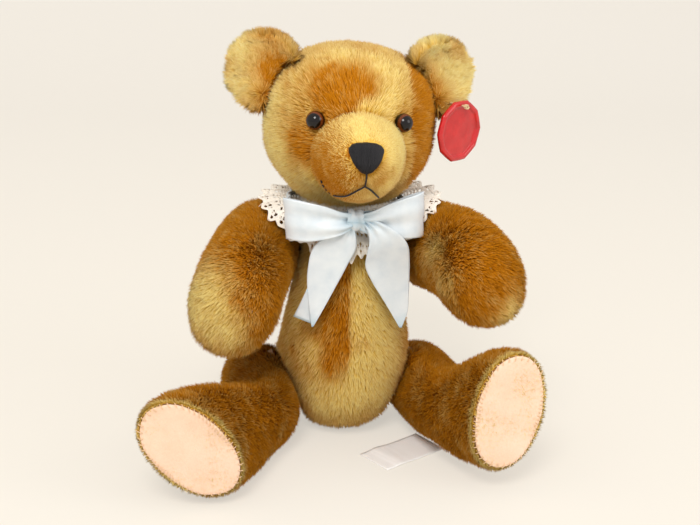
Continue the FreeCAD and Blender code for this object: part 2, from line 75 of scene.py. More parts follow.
# %% [markdown]
# The camera stands a little to the bear's right and looks down on it. Its numbers are the
# distance, the two angles and the slight tilt of the camera about its own line of sight. A camera
# in Blender looks along its own -Z, so the third column of its matrix points back from the bear.

# %% Camera
AIM, AWAY = mm(3, 0, 101), 0.742
TURN, HEIGHT, ROLL = (math.radians(a) for a in (-9, 18.5, 2.3))
back = Vector(
    (math.sin(TURN) * math.cos(HEIGHT), -math.cos(TURN) * math.cos(HEIGHT), math.sin(HEIGHT))
)
right = Vector((math.cos(TURN), math.sin(TURN), 0))
up = back.cross(right)
right, up = (
    right * math.cos(ROLL) + up * math.sin(ROLL),
    up * math.cos(ROLL) - right * math.sin(ROLL),
)
eye_point = AIM + back * AWAY
camera = bpy.data.objects.new("camera", bpy.data.cameras.new("camera"))
camera.data.sensor_width = 36
camera.data.lens = 64.8
camera.data.clip_start = 0.02
camera.matrix_world = Matrix(
    [[right[i], up[i], back[i], eye_point[i]] for i in range(3)] + [[0, 0, 0, 1]]
)
bpy.context.scene.collection.objects.link(camera)
bpy.context.scene.camera = camera
print("camera", [round(x, 3) for x in eye_point])

# %% [markdown]
# Node trees are built by a few small helpers. The first adds a node, sets its options, and joins
# or fills its inputs. Another starts a material with a Principled shader whose plain numbers are
# set on the shader's own sockets.

# %% Nodes and sums
def add(tree, kind, inputs=None, **options):
    """A node of this kind. inputs maps a socket's name or number to a value or a socket."""
    made = tree.nodes.new(kind)
    for name, value in options.items():
        setattr(made, name, value)
    for name, value in (inputs or {}).items():
        if isinstance(value, bpy.types.NodeSocket):
            tree.links.new(value, made.inputs[name])
        else:
            made.inputs[name].default_value = value
    return made


def maths(tree, operation, *values):
    """The result of a Math node."""
    return add(tree, "ShaderNodeMath", dict(enumerate(values)), operation=operation).outputs[0]


print("Blender", bpy.app.version_string)

# %% Colours and finishes
def ramp(tree, fac, *stops):
    """A colour ramp: stops are (place, (r, g, b)) in the order of their places."""
    made = add(tree, "ShaderNodeValToRGB", {"Fac": fac})
    band = made.color_ramp.elements
    while len(band) < len(stops):
        band.new(0.5)
    for element, (place, colour) in zip(band, stops):
        element.position = place
        element.color = (*colour, 1)
    return made.outputs["Color"]


def mixed(tree, fac, a, b):
    """Two colours mixed."""
    made = add(tree, "ShaderNodeMix", {"Factor": fac}, data_type="RGBA")
    for name, value in (("A_Color", a), ("B_Color", b)):
        socket = next(s for s in made.inputs if s.identifier == name)
        if isinstance(value, bpy.types.NodeSocket):
            tree.links.new(value, socket)
        else:
            socket.default_value = (*value, 1)
    return next(s for s in made.outputs if s.identifier == "Result_Color")


def finish_called(name, **numbers):
    """A new material and its tree and Principled shader, with the shader's plain values set."""
    material = bpy.data.materials.new(name)
    material.use_nodes = True
    tree = material.node_tree
    shader = tree.nodes["Principled BSDF"]
    for socket, value in numbers.items():
        shader.inputs[socket.replace("_", " ")].default_value = value
    return material, tree, shader


def srgb(*rgb):
    """A colour given as 0-255 screen values, as the linear values that a shader takes."""
    return tuple(
        c / 12.92 if c <= 0.04045 else ((c + 0.055) / 1.055) ** 2.4 for c in (x / 255 for x in rgb)
    )


def bumped(tree, shader, height, strength, distance):
    """A bump from a height, on the shader's normal."""
    made = add(
        tree, "ShaderNodeBump", {"Height": height, "Strength": strength, "Distance": distance}
    )
    tree.links.new(made.outputs["Normal"], shader.inputs["Normal"])


print("mid grey, 128 on a screen, is", round(srgb(128)[0], 3), "in light")

# %% [markdown]
# The bear sits on a pale paper sweep. A wide soft lamp above and to the left of the camera makes
# the gentle modelling, a second fills from the right, and the world gives an even light all
# round. The paper glows with painted light where the camera and reflections see it, so the
# background is pale without more light on the bear, and the glow is painted greyer towards the far
# corners.

# %% Objects from points
def plain_object(name, mesh):
    made = bpy.data.objects.new(name, mesh)
    bpy.context.scene.collection.objects.link(made)
    return made


def mesh_from(name, points, faces):
    mesh = bpy.data.meshes.new(name)
    mesh.from_pydata([tuple(p) for p in points], [], [tuple(f) for f in faces])
    mesh.update()
    mesh.shade_smooth()
    return mesh


def facing_out(mesh, loose=False):
    """Faces turned outwards. loose also drops the points that no face uses."""
    bm = bmesh.new()
    bm.from_mesh(mesh)
    if loose:
        bmesh.ops.delete(bm, geom=[v for v in bm.verts if not v.link_faces], context="VERTS")
    bmesh.ops.recalc_face_normals(bm, faces=bm.faces)
    bm.to_mesh(mesh)
    bm.free()
    return mesh


print("made: plain objects, meshes from points, faces turned out")

# %% Paper
def sweep_of_paper():
    """Flat from in front of the camera to behind the bear, then a wide bend, then upright."""
    line = [(-2.2, 0), (0.9, 0)]
    line += [(0.9 + 0.9 * math.sin(a), 0.9 - 0.9 * math.cos(a)) for a in np.linspace(0.1, 1.5, 12)]
    line += [(1.8, 3.2)]
    points = [(x, y, z) for y, z in line for x in (-3.4, 3.4)]
    faces = [(2 * i, 2 * i + 1, 2 * i + 3, 2 * i + 2) for i in range(len(line) - 1)]
    return plain_object("paper_sweep", mesh_from("paper_sweep", points, faces))


PAPER_GLOW = 0.55


def paper_finish():
    """Matt paper that takes shadows, with a painted glow that the camera sees, greyer far off."""
    material, tree, shader = finish_called("warm_white_paper", Roughness=0.9)
    shader.inputs["Base Color"].default_value = (*srgb(224, 217, 205), 1)
    shader.inputs["Specular IOR Level"].default_value = 0.1
    # painted light: camera and glossy rays see the paper glowing, and the glow is painted greyer
    # towards the far corners
    place = add(tree, "ShaderNodeTexCoord").outputs["Object"]
    away = add(tree, "ShaderNodeVectorMath", {0: place, 1: (0.0, 0.1, 0.1)}, operation="DISTANCE")
    away = maths(tree, "MULTIPLY", away.outputs["Value"], 0.4)
    glow = ramp(tree, away, (0.05, srgb(255, 249, 238)), (0.5, srgb(255, 250, 242)),
                (1.0, srgb(248, 240, 232)))
    light = add(tree, "ShaderNodeEmission", {"Color": glow, "Strength": 1.0})
    ray = add(tree, "ShaderNodeLightPath").outputs
    seen = maths(tree, "MAXIMUM", ray["Is Camera Ray"], ray["Is Glossy Ray"])
    seen = maths(tree, "MULTIPLY", seen, PAPER_GLOW)
    both = add(tree, "ShaderNodeMixShader",
               {0: seen, 1: shader.outputs["BSDF"], 2: light.outputs["Emission"]})
    tree.links.new(both.outputs[0], tree.nodes["Material Output"].inputs["Surface"])
    return material


paper = sweep_of_paper()
paper.data.materials.append(paper_finish())
print("paper", len(paper.data.polygons), "faces, glow", PAPER_GLOW)

# %% Lamps
def soft_lamp(name, place, size, power, colour):
    lamp = bpy.data.objects.new(name, bpy.data.lights.new(name, "AREA"))
    lamp.data.shape = "DISK"
    lamp.data.size = size
    lamp.data.energy = power
    lamp.data.color = colour
    lamp.location = place
    lamp.rotation_euler = (AIM - Vector(place)).to_track_quat("-Z", "Y").to_euler()
    bpy.context.scene.collection.objects.link(lamp)


KEY_WATTS, FILL_WATTS, ROOM_LIGHT = 13, 4, 0.9
soft_lamp("key_lamp", (-0.35, -1.0, 1.2), 0.6, KEY_WATTS, (1, 0.98, 0.95))
soft_lamp("fill_lamp", (1.1, -0.7, 0.7), 0.8, FILL_WATTS, (1, 0.98, 0.96))
world = bpy.data.worlds.new("studio")
world.use_nodes = True
world.node_tree.nodes["Background"].inputs["Color"].default_value = (1, 0.985, 0.96, 1)
world.node_tree.nodes["Background"].inputs["Strength"].default_value = ROOM_LIGHT
bpy.context.scene.world = world
bpy.context.scene.view_settings.view_transform = "Standard"
print("lamps", KEY_WATTS, "and", FILL_WATTS, "W")

# %% [markdown]
# Each stuffed cover starts as a plain closed skin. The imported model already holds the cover's
# shape, so the cover, its stuffing and its felt are joined and refilled with small even squares
# by a voxel remesh, which closes the gaps between them. The skin is then relaxed and drawn in by
# the height of the pile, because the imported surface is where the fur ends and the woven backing
# lies below it.

# %% Reading and changing meshes
def copied(nodes):
    """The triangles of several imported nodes, merged to closed solids, in one mesh."""
    bm = bmesh.new()
    for name in nodes:
        bm.from_mesh(frame["nodes"][name].data)
    bmesh.ops.remove_doubles(bm, verts=bm.verts, dist=1e-6)
    mesh = bpy.data.meshes.new("copied")
    bm.to_mesh(mesh)
    bm.free()
    return mesh


def evaluated(obj):
    """The finished mesh of an object with its modifiers, and the modifiers taken off."""
    graph = bpy.context.evaluated_depsgraph_get()
    mesh = bpy.data.meshes.new_from_object(obj.evaluated_get(graph), depsgraph=graph)
    obj.modifiers.clear()
    return mesh


def corners(mesh):
    co = np.empty(len(mesh.vertices) * 3, np.float32)
    mesh.vertices.foreach_get("co", co)
    return co.reshape(-1, 3).astype(float)


def edges_of(mesh):
    ends = np.empty(len(mesh.edges) * 2, np.int32)
    mesh.edges.foreach_get("vertices", ends)
    return ends.reshape(-1, 2)


def normals_of(mesh):
    n = np.empty(len(mesh.vertices) * 3, np.float32)
    mesh.vertex_normals.foreach_get("vector", n)
    return n.reshape(-1, 3).astype(float)


def put(mesh, co):
    mesh.vertices.foreach_set("co", np.asarray(co, np.float32).ravel())
    mesh.update()


print("packed nodes", len(frame["nodes"]))

# %% Relaxing a mesh
def relaxed(values, ends, times, share=0.5):
    """Each point moves towards the mean of its neighbours, times over."""
    count = np.bincount(ends.ravel(), minlength=len(values))[:, None]
    for _ in range(times):
        total = np.zeros_like(values)
        np.add.at(total, ends[:, 0], values[ends[:, 1]])
        np.add.at(total, ends[:, 1], values[ends[:, 0]])
        values = values + share * (total / np.maximum(count, 1) - values)
    return values


def largest_part(mesh):
    """Only the part of the mesh that reaches furthest: the outside, without inner pockets."""
    bm = bmesh.new()
    bm.from_mesh(mesh)
    left, best = set(bm.verts), []
    while left:
        part, todo = [], [left.pop()]
        while todo:
            v = todo.pop()
            part.append(v)
            for e in v.link_edges:
                w = e.other_vert(v)
                if w in left:
                    left.remove(w)
                    todo.append(w)
        best = max(best, part, key=len)
    keep = set(best)
    bmesh.ops.delete(bm, geom=[v for v in bm.verts if v not in keep], context="VERTS")
    bm.to_mesh(mesh)
    bm.free()
    return mesh


print("made: relaxing, and the removal of inner pockets")

# %% [markdown]
# Some work needs to know how far a point is from another piece. A search tree answers that
# quickly, even for thousands of points.

# %% Distances
def surface(*nodes):
    """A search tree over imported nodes, to measure how far a point is from them."""
    bm = bmesh.new()
    for name in nodes:
        bm.from_mesh(frame["nodes"][name].data)
    found = BVHTree.FromBMesh(bm)
    bm.free()
    return found


def distances(tree, points, reach=0.03):
    """How far each point is from a surface, up to reach."""
    near = [tree.find_nearest(Vector(p), reach) for p in points]
    return np.array([reach if hit[3] is None else hit[3] for hit in near])


print("made: a search tree over packed nodes")

# %% [markdown]
# Drawing a skin in by the full height of the pile would bare the hardboard discs that lie flat
# against the cloth at each joint, so the inset stops just above a disc. An ear is a shallow bowl,
# and the pile in it stands as high as at its rim, so the bowl's floor comes forward.

# %% Making a skin
BOWL_FILL = 0.005
DISCS = surface(*[n for n in frame["nodes"] if "disc" in n and not n.startswith("neck")])
DISC_CLEAR = 0.0008


def ease(x, low, high):
    """0 below low, 1 above high, and a smooth step between."""
    t = np.clip((x - low) / (high - low), 0, 1)
    return t * t * (3 - 2 * t)


def filled_bowl(mesh):
    """The front of an ear comes forward in its middle, as far as the pile in it would stand."""
    co = corners(mesh)
    low, high = co.min(0), co.max(0)
    across = (co[:, 0] - (low[0] + high[0]) / 2) / ((high[0] - low[0]) / 2)
    upward = (co[:, 2] - (low[2] + high[2]) / 2) / ((high[2] - low[2]) / 2)
    faces_front = ease(-normals_of(mesh)[:, 1], 0.0, 0.5)
    co[:, 1] -= BOWL_FILL * faces_front * np.clip(1 - across**2 - upward**2, 0, 1)
    put(mesh, co)


def skin_of(name, nodes, voxel, inset, smooth=6):
    obj = plain_object(name, copied(nodes))
    fill = obj.modifiers.new("fill", "REMESH")
    fill.mode = "VOXEL"
    fill.voxel_size = voxel
    mesh = largest_part(evaluated(obj))
    ends = edges_of(mesh)
    put(mesh, relaxed(corners(mesh), ends, smooth))
    depth = np.full((len(mesh.vertices), 1), inset)
    if name in ("head_skin", "torso_skin"):
        depth *= ease(abs(corners(mesh)[:, 2:] - 0.142), 0.004, 0.014) * 0.9 + 0.1
    if name.endswith("ear_skin"):
        filled_bowl(mesh)
    gap = distances(DISCS, corners(mesh))[:, None] - DISC_CLEAR
    depth = np.clip(depth, 0, np.maximum(gap, 0))
    put(mesh, corners(mesh) - normals_of(mesh) * depth)
    put(mesh, relaxed(corners(mesh), ends, 2))
    bpy.data.objects.remove(obj)
    return mesh


print("skins clear the discs by", DISC_CLEAR * 1000, "mm, ear bowls fill by", BOWL_FILL * 1000)

# %% The nine skins
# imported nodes, then the voxel, the inset in mm and the times relaxed
SKINS = {
    "torso": (["torso_cover", "torso_stuffing"], 2.2, 3.2, 6),
    "head": (["head_cover", "head_stuffing"], 2.2, 3.2, 6),
    "muzzle": (["muzzle_cover"], 1.4, 1.5, 5),
    "left_ear": (["left_ear"], 1.4, 1.6, 20),
    "right_ear": (["right_ear"], 1.4, 1.6, 20),
    "left_arm": (["left_arm_cover", "left_arm_stuffing", "left_paw_pad"], 2.0, 3.2, 5),
    "right_arm": (["right_arm_cover", "right_arm_stuffing", "right_paw_pad"], 2.0, 3.2, 5),
}
for leg in ("left", "right"):
    nodes = [leg + end for end in ("_leg_cover", "_leg_stuffing", "_insole", "_foot_pad")]
    SKINS[leg + "_leg"] = (nodes, 2.0, 3.0, 5)
skins = {}
for name, (nodes, voxel, inset, smooth) in SKINS.items():
    skins[name] = skin_of(name + "_skin", nodes, voxel / 1000, inset / 1000, smooth)
    print("skin", name, len(skins[name].polygons), "faces")

# %% [markdown]
# The pile is what makes this bear. Mohair stands in small locks, brown-orange at the root and
# pale gold at the tip, so it looks dark where it stands towards you and pale where it lies over.
# Geometry Nodes scatter the locks: points on the skin, a direction at each point from the way the
# cloth was cut (its nap) with slow swirls and small tufts added, and a thin three-sided spike on
# each point. A lock has only four triangles, because there are tens of thousands.

# %% Building and running trees
def new_tree(name, **inputs):
    tree = bpy.data.node_groups.new(name, "GeometryNodeTree")
    tree.interface.new_socket("Geometry", in_out="INPUT", socket_type="NodeSocketGeometry")
    for label, value in inputs.items():
        kind = "NodeSocketInt" if isinstance(value, int) else "NodeSocketFloat"
        socket = tree.interface.new_socket(label, in_out="INPUT", socket_type=kind)
        socket.default_value = value
    tree.interface.new_socket("Material", in_out="INPUT", socket_type="NodeSocketMaterial")
    tree.interface.new_socket("Geometry", in_out="OUTPUT", socket_type="NodeSocketGeometry")
    return tree, add(tree, "NodeGroupInput").outputs, add(tree, "NodeGroupOutput").inputs


def grown(obj, tree, material, **sizes):
    """The plain mesh that a Geometry Nodes tree makes of an object, with the modifier removed."""
    modifier = obj.modifiers.new(tree.name, "NODES")
    modifier.node_group = tree
    sizes["Material"] = material
    for item in tree.interface.items_tree:
        if item.in_out == "INPUT" and item.name in sizes:
            modifier[item.identifier] = sizes[item.name]
    return evaluated(obj)


def vector(tree, operation, *values):
    made = add(tree, "ShaderNodeVectorMath", dict(enumerate(values)), operation=operation)
    return made.outputs["Value" if operation in ("DOT_PRODUCT", "LENGTH") else "Vector"]


def scaled(tree, v, by):
    made = add(tree, "ShaderNodeVectorMath", {0: v, "Scale": by}, operation="SCALE")
    return made.outputs["Vector"]


def attribute(tree, name, kind="FLOAT"):
    return add(tree, "GeometryNodeInputNamedAttribute", {"Name": name}, data_type=kind).outputs[
        "Attribute"
    ]


def random_value(tree, low, high, seed, kind="FLOAT"):
    made = add(tree, "FunctionNodeRandomValue", {"Seed": seed}, data_type=kind)
    ends = [s for s in made.inputs if s.name in ("Min", "Max") and s.enabled]
    ends[0].default_value, ends[1].default_value = low, high
    return next(s for s in made.outputs if s.enabled)


print("made: node groups with named inputs")

# %% The lie and the size of the locks
def lie_of_lock(tree, given, normal):
    """Which way a lock points: the nap with swirls and tufts, laid on the skin and then raised."""
    place = add(tree, "GeometryNodeInputPosition").outputs[0]
    side = attribute(tree, "nap", "FLOAT_VECTOR")
    for size, strength in (("Swirl_Size", "Swirl"), ("Tuft_Size", "Tuft")):
        cloud = add(
            tree, "ShaderNodeTexNoise",
            {"Vector": place, "Scale": maths(tree, "DIVIDE", 1.0, given[size]), "Detail": 1.0},
        )
        turn = vector(tree, "SUBTRACT", cloud.outputs["Color"], (0.5, 0.5, 0.5))
        turn = scaled(tree, turn, maths(tree, "MULTIPLY", given[strength], 4.0))
        side = vector(tree, "ADD", side, turn)
    stray = random_value(tree, (-0.22, -0.22, -0.22), (0.22, 0.22, 0.22), 7, "FLOAT_VECTOR")
    side = vector(tree, "ADD", side, stray)
    off = scaled(tree, normal, vector(tree, "DOT_PRODUCT", side, normal))
    side = vector(tree, "SUBTRACT", side, off)
    stand = maths(tree, "MULTIPLY", given["Stand"], attribute(tree, "stand"))
    return vector(tree, "ADD", side, scaled(tree, normal, stand))


def size_of_lock(tree, given):
    """A lock's thickness and length, both left a little to chance."""
    length = maths(tree, "MULTIPLY", given["Length"], attribute(tree, "long"))
    length = maths(tree, "MULTIPLY", length, random_value(tree, 0.75, 1.15, 5))
    width = maths(tree, "MULTIPLY", given["Width"], random_value(tree, 0.7, 1.3, 9))
    return add(tree, "ShaderNodeCombineXYZ", {"X": width, "Y": width, "Z": length}).outputs[0]


print("made: the lie and the size of a lock")

# %% The pile tree
def pile_tree():
    tree, given, out = new_tree(
        "Mohair pile", Density=1e6, Length=0.007, Width=0.0006, Stand=0.6, Swirl=0.5, Tuft=0.5,
        Swirl_Size=0.02, Tuft_Size=0.004, Seed=1,
    )
    growth = maths(tree, "MULTIPLY", given["Density"], attribute(tree, "cover"))
    scatter = add(
        tree, "GeometryNodeDistributePointsOnFaces",
        {"Mesh": given["Geometry"], "Density": growth, "Seed": given["Seed"]},
        distribute_method="RANDOM",
    )
    normal = scatter.outputs["Normal"]
    way = lie_of_lock(tree, given, normal)
    roll = add(tree, "ShaderNodeCombineXYZ", {"Z": random_value(tree, 0.0, 6.28, 3)})
    rolled = add(tree, "FunctionNodeEulerToRotation", {"Euler": roll.outputs[0]})
    turned = add(
        tree, "FunctionNodeAlignRotationToVector",
        {"Rotation": rolled.outputs[0], "Vector": way}, axis="Z",
    )
    lock = add(
        tree, "GeometryNodeMeshCone",
        {"Vertices": 3, "Radius Top": 0.0, "Radius Bottom": 1.0, "Depth": 1.0}, fill_type="NGON",
    )
    kept = add(
        tree, "GeometryNodeStoreNamedAttribute",
        {"Geometry": scatter.outputs["Points"], "Name": "skin_normal"},
        data_type="FLOAT_VECTOR", domain="POINT",
    )
    tree.links.new(normal, next(s for s in kept.inputs if s.name == "Value" and s.enabled))
    placed = add(
        tree, "GeometryNodeInstanceOnPoints",
        {"Points": kept.outputs["Geometry"], "Instance": lock.outputs["Mesh"],
         "Rotation": turned.outputs[0], "Scale": size_of_lock(tree, given)},
    )
    real = add(tree, "GeometryNodeRealizeInstances", {"Geometry": placed.outputs[0]})
    done = add(
        tree, "GeometryNodeSetMaterial",
        {"Geometry": real.outputs[0], "Material": given["Material"]},
    )
    tree.links.new(done.outputs[0], out["Geometry"])
    return tree


PILE = pile_tree()
print("tree", PILE.name, "with", len(PILE.nodes), "nodes")

# %% [markdown]
# Each skin needs to know four things at every point: which way its cloth was cut (the nap, along
# which the pile lies), how upright the pile stands, how long it is, and whether it grows there at
# all. They are stored as attributes on the skin. The pile is left off where something is sewn on,
# such as a felt sole or an eye. It lies short and flat under the collar and the bow, and flat
# where the bear touches the table.

# %% Values on a skin
def store(mesh, name, values):
    kind = "FLOAT_VECTOR" if np.ndim(values) == 2 else "FLOAT"
    made = mesh.attributes.new(name, kind, "POINT")
    field = "vector" if kind == "FLOAT_VECTOR" else "value"
    made.data.foreach_set(field, np.asarray(values, np.float32).ravel())


def joint_of(name):
    return next(j for j in frame["joints"] if j["name"] == name)


def middle(node):
    low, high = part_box(node)
    return np.array((low + high) / 2)


def ground(points):
    """How close each point is to the table: 1 on it, 0 well above."""
    return 1 - ease(points[:, 2], 0.001, 0.006)


NOSE = middle("nose_stitching")
DRESS = surface(
    "lace_collar", "bow_left_loop", "bow_right_loop", "bow_left_tail", "bow_right_tail", "bow_knot"
)
print("nose at", [round(float(x), 4) for x in NOSE])

# %% The nap
def away_from(points, centre):
    return unit(points - np.asarray(centre))


def nap_of(name, p):
    """The way the pile lies: along a limb, down the body, away from the nose."""
    if name == "torso":
        side = np.clip(p[:, :1] / 0.02, -1, 1)
        return unit(np.hstack([0.35 * side, np.zeros_like(side), -np.ones_like(side)]))
    if name in ("head", "muzzle"):
        return away_from(p, NOSE)
    if name.endswith("ear"):
        return away_from(p, middle(name) - np.array((0, 0, 0.012)))
    kind = "shoulder" if name.endswith("arm") else "hip"
    root = np.array(joint_of(name.split("_")[0] + "_" + kind + "_joint")["pos_m"])
    tip = middle(name.replace("leg", "foot_pad").replace("arm", "paw_pad"))
    return np.tile(unit(tip - root + np.array((0, 0, -0.01))), (len(p), 1))


print("nap of the left arm", nap_of("left_arm", np.zeros((1, 3)))[0].round(2))

# %% Dressing the skins
SEWN = {
    "head": ["left_eye", "right_eye"],
    "muzzle": ["nose_stitching"],
    "left_arm": ["left_paw_pad"],
    "right_arm": ["right_paw_pad"],
    "left_leg": ["left_foot_pad"],
    "right_leg": ["right_foot_pad"],
}


def dress_skin(name, mesh, inset):
    p, n = corners(mesh), normals_of(mesh)
    cover = np.ones(len(p))
    stand = np.ones(len(p))
    long = np.ones(len(p))
    nap = nap_of(name, p)
    for node in SEWN.get(name, []):
        gap = distances(surface(node), p)
        bare = inset * 0.4 if "pad" in node else 0.0022
        cover *= gap > bare
        if "pad" in node:
            long *= 0.65 + 0.35 * ease(gap, 0.002, 0.009)
        if "eye" in node:
            long *= 0.45 + 0.55 * ease(gap, 0.002, 0.009)
    if name == "torso":
        under = 1 - ease(distances(DRESS, p), 0.004, 0.0075)
        stand *= 1 - 0.75 * under
        long *= 1 - 0.45 * under
        cover *= (p[:, 2] < 0.137) & (p[:, 2] > 0.0025)
    if name == "head":
        low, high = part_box("muzzle_cover")
        across = ((p[:, 0] - (low.x + high.x) / 2) / ((high.x - low.x) / 2 - 0.001)) ** 2
        upward = ((p[:, 2] - (low.z + high.z) / 2) / ((high.z - low.z) / 2 - 0.001)) ** 2
        cover *= ~((across + upward < 1) & (p[:, 1] < high.y + 0.004))
        cover *= p[:, 2] > 0.1435
    if name == "muzzle":
        inner = ((p - (NOSE + np.array((0, 0.035, -0.008)))) * n).sum(1) < 0
        cover *= ~inner
        long *= 0.8 + 0.5 * ease(p[:, 1], NOSE[1] + 0.01, NOSE[1] + 0.03)
    flat = ground(p)
    stand *= 1 - 0.8 * flat
    for label, values in (("cover", cover), ("stand", stand), ("long", long), ("nap", nap)):
        store(mesh, label, values)


print("sewn on", SEWN)

# %% Cheeks, and the skins dressed
CHEEK_RISE, CHEEK_REACH = 0.0034, 0.011


def cheeks_raised(mesh):
    """The head's skin rises to meet the muzzle, so that no ditch shows between them."""
    gap = distances(surface("muzzle_cover"), corners(mesh), 0.012)
    rise = CHEEK_RISE * (1 - np.clip(gap / CHEEK_REACH, 0, 1)) ** 1.5
    put(mesh, corners(mesh) + normals_of(mesh) * rise[:, None])
    put(mesh, relaxed(corners(mesh), edges_of(mesh), 2))


cheeks_raised(skins["head"])
for name, (nodes, voxel, inset, smooth) in SKINS.items():
    dress_skin(name, skins[name], inset / 1000)
print("skins dressed")

# %% [markdown]
# A lock's colour depends on two numbers: how far along the lock a point is, and how light or dark
# that part of the coat is. Both are written to the piece's own map, so one finish serves every
# cover. The coat's tone is a sum of broad patches and of a small random part for each lock. The
# broad patches are partly the pile brushed over or pressed up, and partly painted sheen and painted
# shade: pale where the pile would catch the light, dark where it would lie in shade. The finish
# reads the map with two colour ramps, root to tip, one for the dark patches and one for the pale
# ones.

# %% The tone of the coat
# the patches are partly the pile brushed over or pressed up and partly painted light: painted sheen
# in the pale ones, painted shade in the dark ones, such as the ear hollows, the shoulders under the
# collar and the inner legs
# (place in mm, radius in mm, how much paler)
PATCHES = {
    "torso": [
        ((16, -34, 88), 22, 0.3), ((13, -30, 45), 20, 0.4), ((-12, -34, 28), 17, 0.35),
        ((-15, -33, 78), 13, -0.15), ((-6, -38, 62), 9, -0.15), ((-20, -30, 62), 8, 0.2),
        ((-30, -14, 104), 14, 0.25), ((-28, -22, 84), 12, 0.2), ((30, -18, 60), 14, -0.1),
        ((8, -36, 66), 5, -0.3),
    ],
    "head": [
        ((-6, -41, 206), 15, -0.55), ((-16, -34, 216), 10, -0.3), ((-11, -20, 226), 12, 0.15),
        ((14, -30, 220), 12, 0.25), ((10, -42, 205), 9, 0.3), ((-44, -20, 172), 15, 0.4),
        ((-36, -28, 152), 16, 0.35), ((-46, -8, 196), 13, 0.3), ((-31, -36, 181), 9, -0.45),
        ((-34, -32, 170), 7, -0.25), ((0, -46, 198), 8, 0.5), ((-12, -36, 146), 12, 0.25),
    ],
    "muzzle": [
        ((-22, -55, 172), 16, -0.6), ((-16, -62, 166), 9, -0.35), ((-4, -60, 195), 12, 0.5),
        ((14, -60, 186), 13, 0.4), ((16, -62, 166), 10, 0.15), ((0, -68, 158), 9, 0.25),
        ((6, -70, 172), 5, -0.15),
    ],
    "left_ear": [
        ((42, -8, 204), 10, -0.6), ((60, -4, 226), 9, -0.2), ((64, -4, 208), 12, 0.35),
        ((50, -4, 214), 8, 0.2), ((48, -6, 228), 8, 0.2),
    ],
    "right_ear": [
        ((-40, -8, 204), 12, -0.7), ((-48, -6, 214), 8, -0.3), ((-62, 0, 204), 11, 0.3),
        ((-60, 2, 224), 8, 0.25), ((-46, 2, 230), 8, -0.2),
    ],
    "right_arm": [
        ((-58, -26, 136), 22, -0.3), ((-44, -50, 124), 16, -0.5), ((-48, -62, 112), 12, -0.3),
        ((-84, -66, 106), 18, 0.45), ((-72, -82, 88), 15, 0.4), ((-66, -78, 110), 9, -0.25),
        ((-50, -76, 88), 10, -0.3),
    ],
    "left_arm": [
        ((48, -30, 138), 18, -0.3), ((40, -52, 128), 10, 0.35), ((68, -62, 130), 18, -0.35),
        ((60, -78, 108), 10, -0.2), ((78, -78, 98), 11, 0.35), ((48, -64, 112), 12, 0.2),
    ],
    "right_leg": [
        ((-56, -38, 46), 14, 0.1), ((-45, -45, 18), 22, -0.45), ((-96, -70, 64), 16, -0.1),
        ((-112, -70, 30), 14, 0.1), ((-74, -60, 40), 16, -0.4), ((-62, -66, 22), 12, -0.3),
    ],
    "left_leg": [
        ((44, -23, 36), 20, -0.55), ((58, -55, 22), 18, -0.3), ((72, -62, 66), 14, -0.1),
        ((98, -70, 56), 14, 0.3), ((66, -80, 14), 12, 0.1), ((52, -30, 60), 12, -0.2),
    ],
}
MEAN_TONE = {"torso": 0.42, "head": 0.5, "muzzle": 0.48, "left_ear": 0.58, "right_ear": 0.52,
             "left_arm": 0.27, "right_arm": 0.3, "left_leg": 0.25, "right_leg": 0.25}
print("patches", {name: len(patches) for name, patches in PATCHES.items()})

# %% How pale the coat is at a place
def mottle(p, size, seed, stretch=1.0):
    """A smooth random field, about -1 to 1, in patches of this size, drawn tall by stretch."""
    dice = np.random.default_rng(seed)
    ways = dice.normal(0, 1, (28, 3)) / size
    ways[:, 2] /= stretch
    return np.cos(p @ ways.T + dice.uniform(0, 2 * math.pi, 28)).sum(1) / math.sqrt(28)


def tone_at(name, p):
    tone = np.full(len(p), MEAN_TONE[name])
    for place, radius, strength in PATCHES[name]:
        reach = ((p * 1000 - np.array(place)) ** 2).sum(1) / radius**2
        tone += strength * np.exp(-reach)
    x, y, z = (p * 1000).T
    if name == "head":
        # painted shade: the head's side panel behind its seam is drawn darker
        panel = ease(x, 25, 28) * ease(z, 150, 165) * ease(-y, -24, 0)
        tone += panel * (0.12 - tone) * 0.9
    if name == "torso":
        # painted sheen and painted shade: the chest is drawn paler on the bear's left of its middle
        # seam and darker just to its right
        front = ease(-y, -5, 10)
        tone += 0.2 * front * ease(x, -2, 2) * ease(z, 20, 40) * (1 - ease(x, 22, 34))
        tone -= 0.22 * front * ease(-x, 0, 3) * (1 - ease(-x, 10, 20)) * ease(z, 34, 52)
    if name == "muzzle":
        ring = np.sin(2 * math.pi * np.linalg.norm(p - NOSE, axis=1) / 0.0015)
        tone += 0.4 * ring * ease(-x, 4, 9)
    if name.endswith("leg"):
        rim = distances(surface(name.replace("leg", "foot_pad")), p, 0.012)
        tone += 0.4 * (1 - ease(rim, 0.002, 0.007))
    if name == "right_leg":
        ring = np.sin(2 * math.pi * (x * 0.6 + y * 0.5 + z * 0.5) / 1.7)
        tone += 0.12 * ring * np.exp(-((x + 58) ** 2 + (y + 40) ** 2 + (z - 46) ** 2) / 18**2)
    long = 2.5 if name == "torso" else 1.3
    tone = ease(tone, 0.12, 0.88)
    tone += 0.07 * mottle(p, 0.0045, 5, long) + 0.09 * mottle(p, 0.0014, 6, long)
    return tone


print("tone of the chest", tone_at("torso", np.array([[0.0, -0.04, 0.1]])).round(2))

# %% [markdown]
# The finish itself is two ramps from root to tip, one for the dark patches and one for the pale
# ones, mixed by the tone. Its gloss is weak and golden, as light that has gone through mohair is.

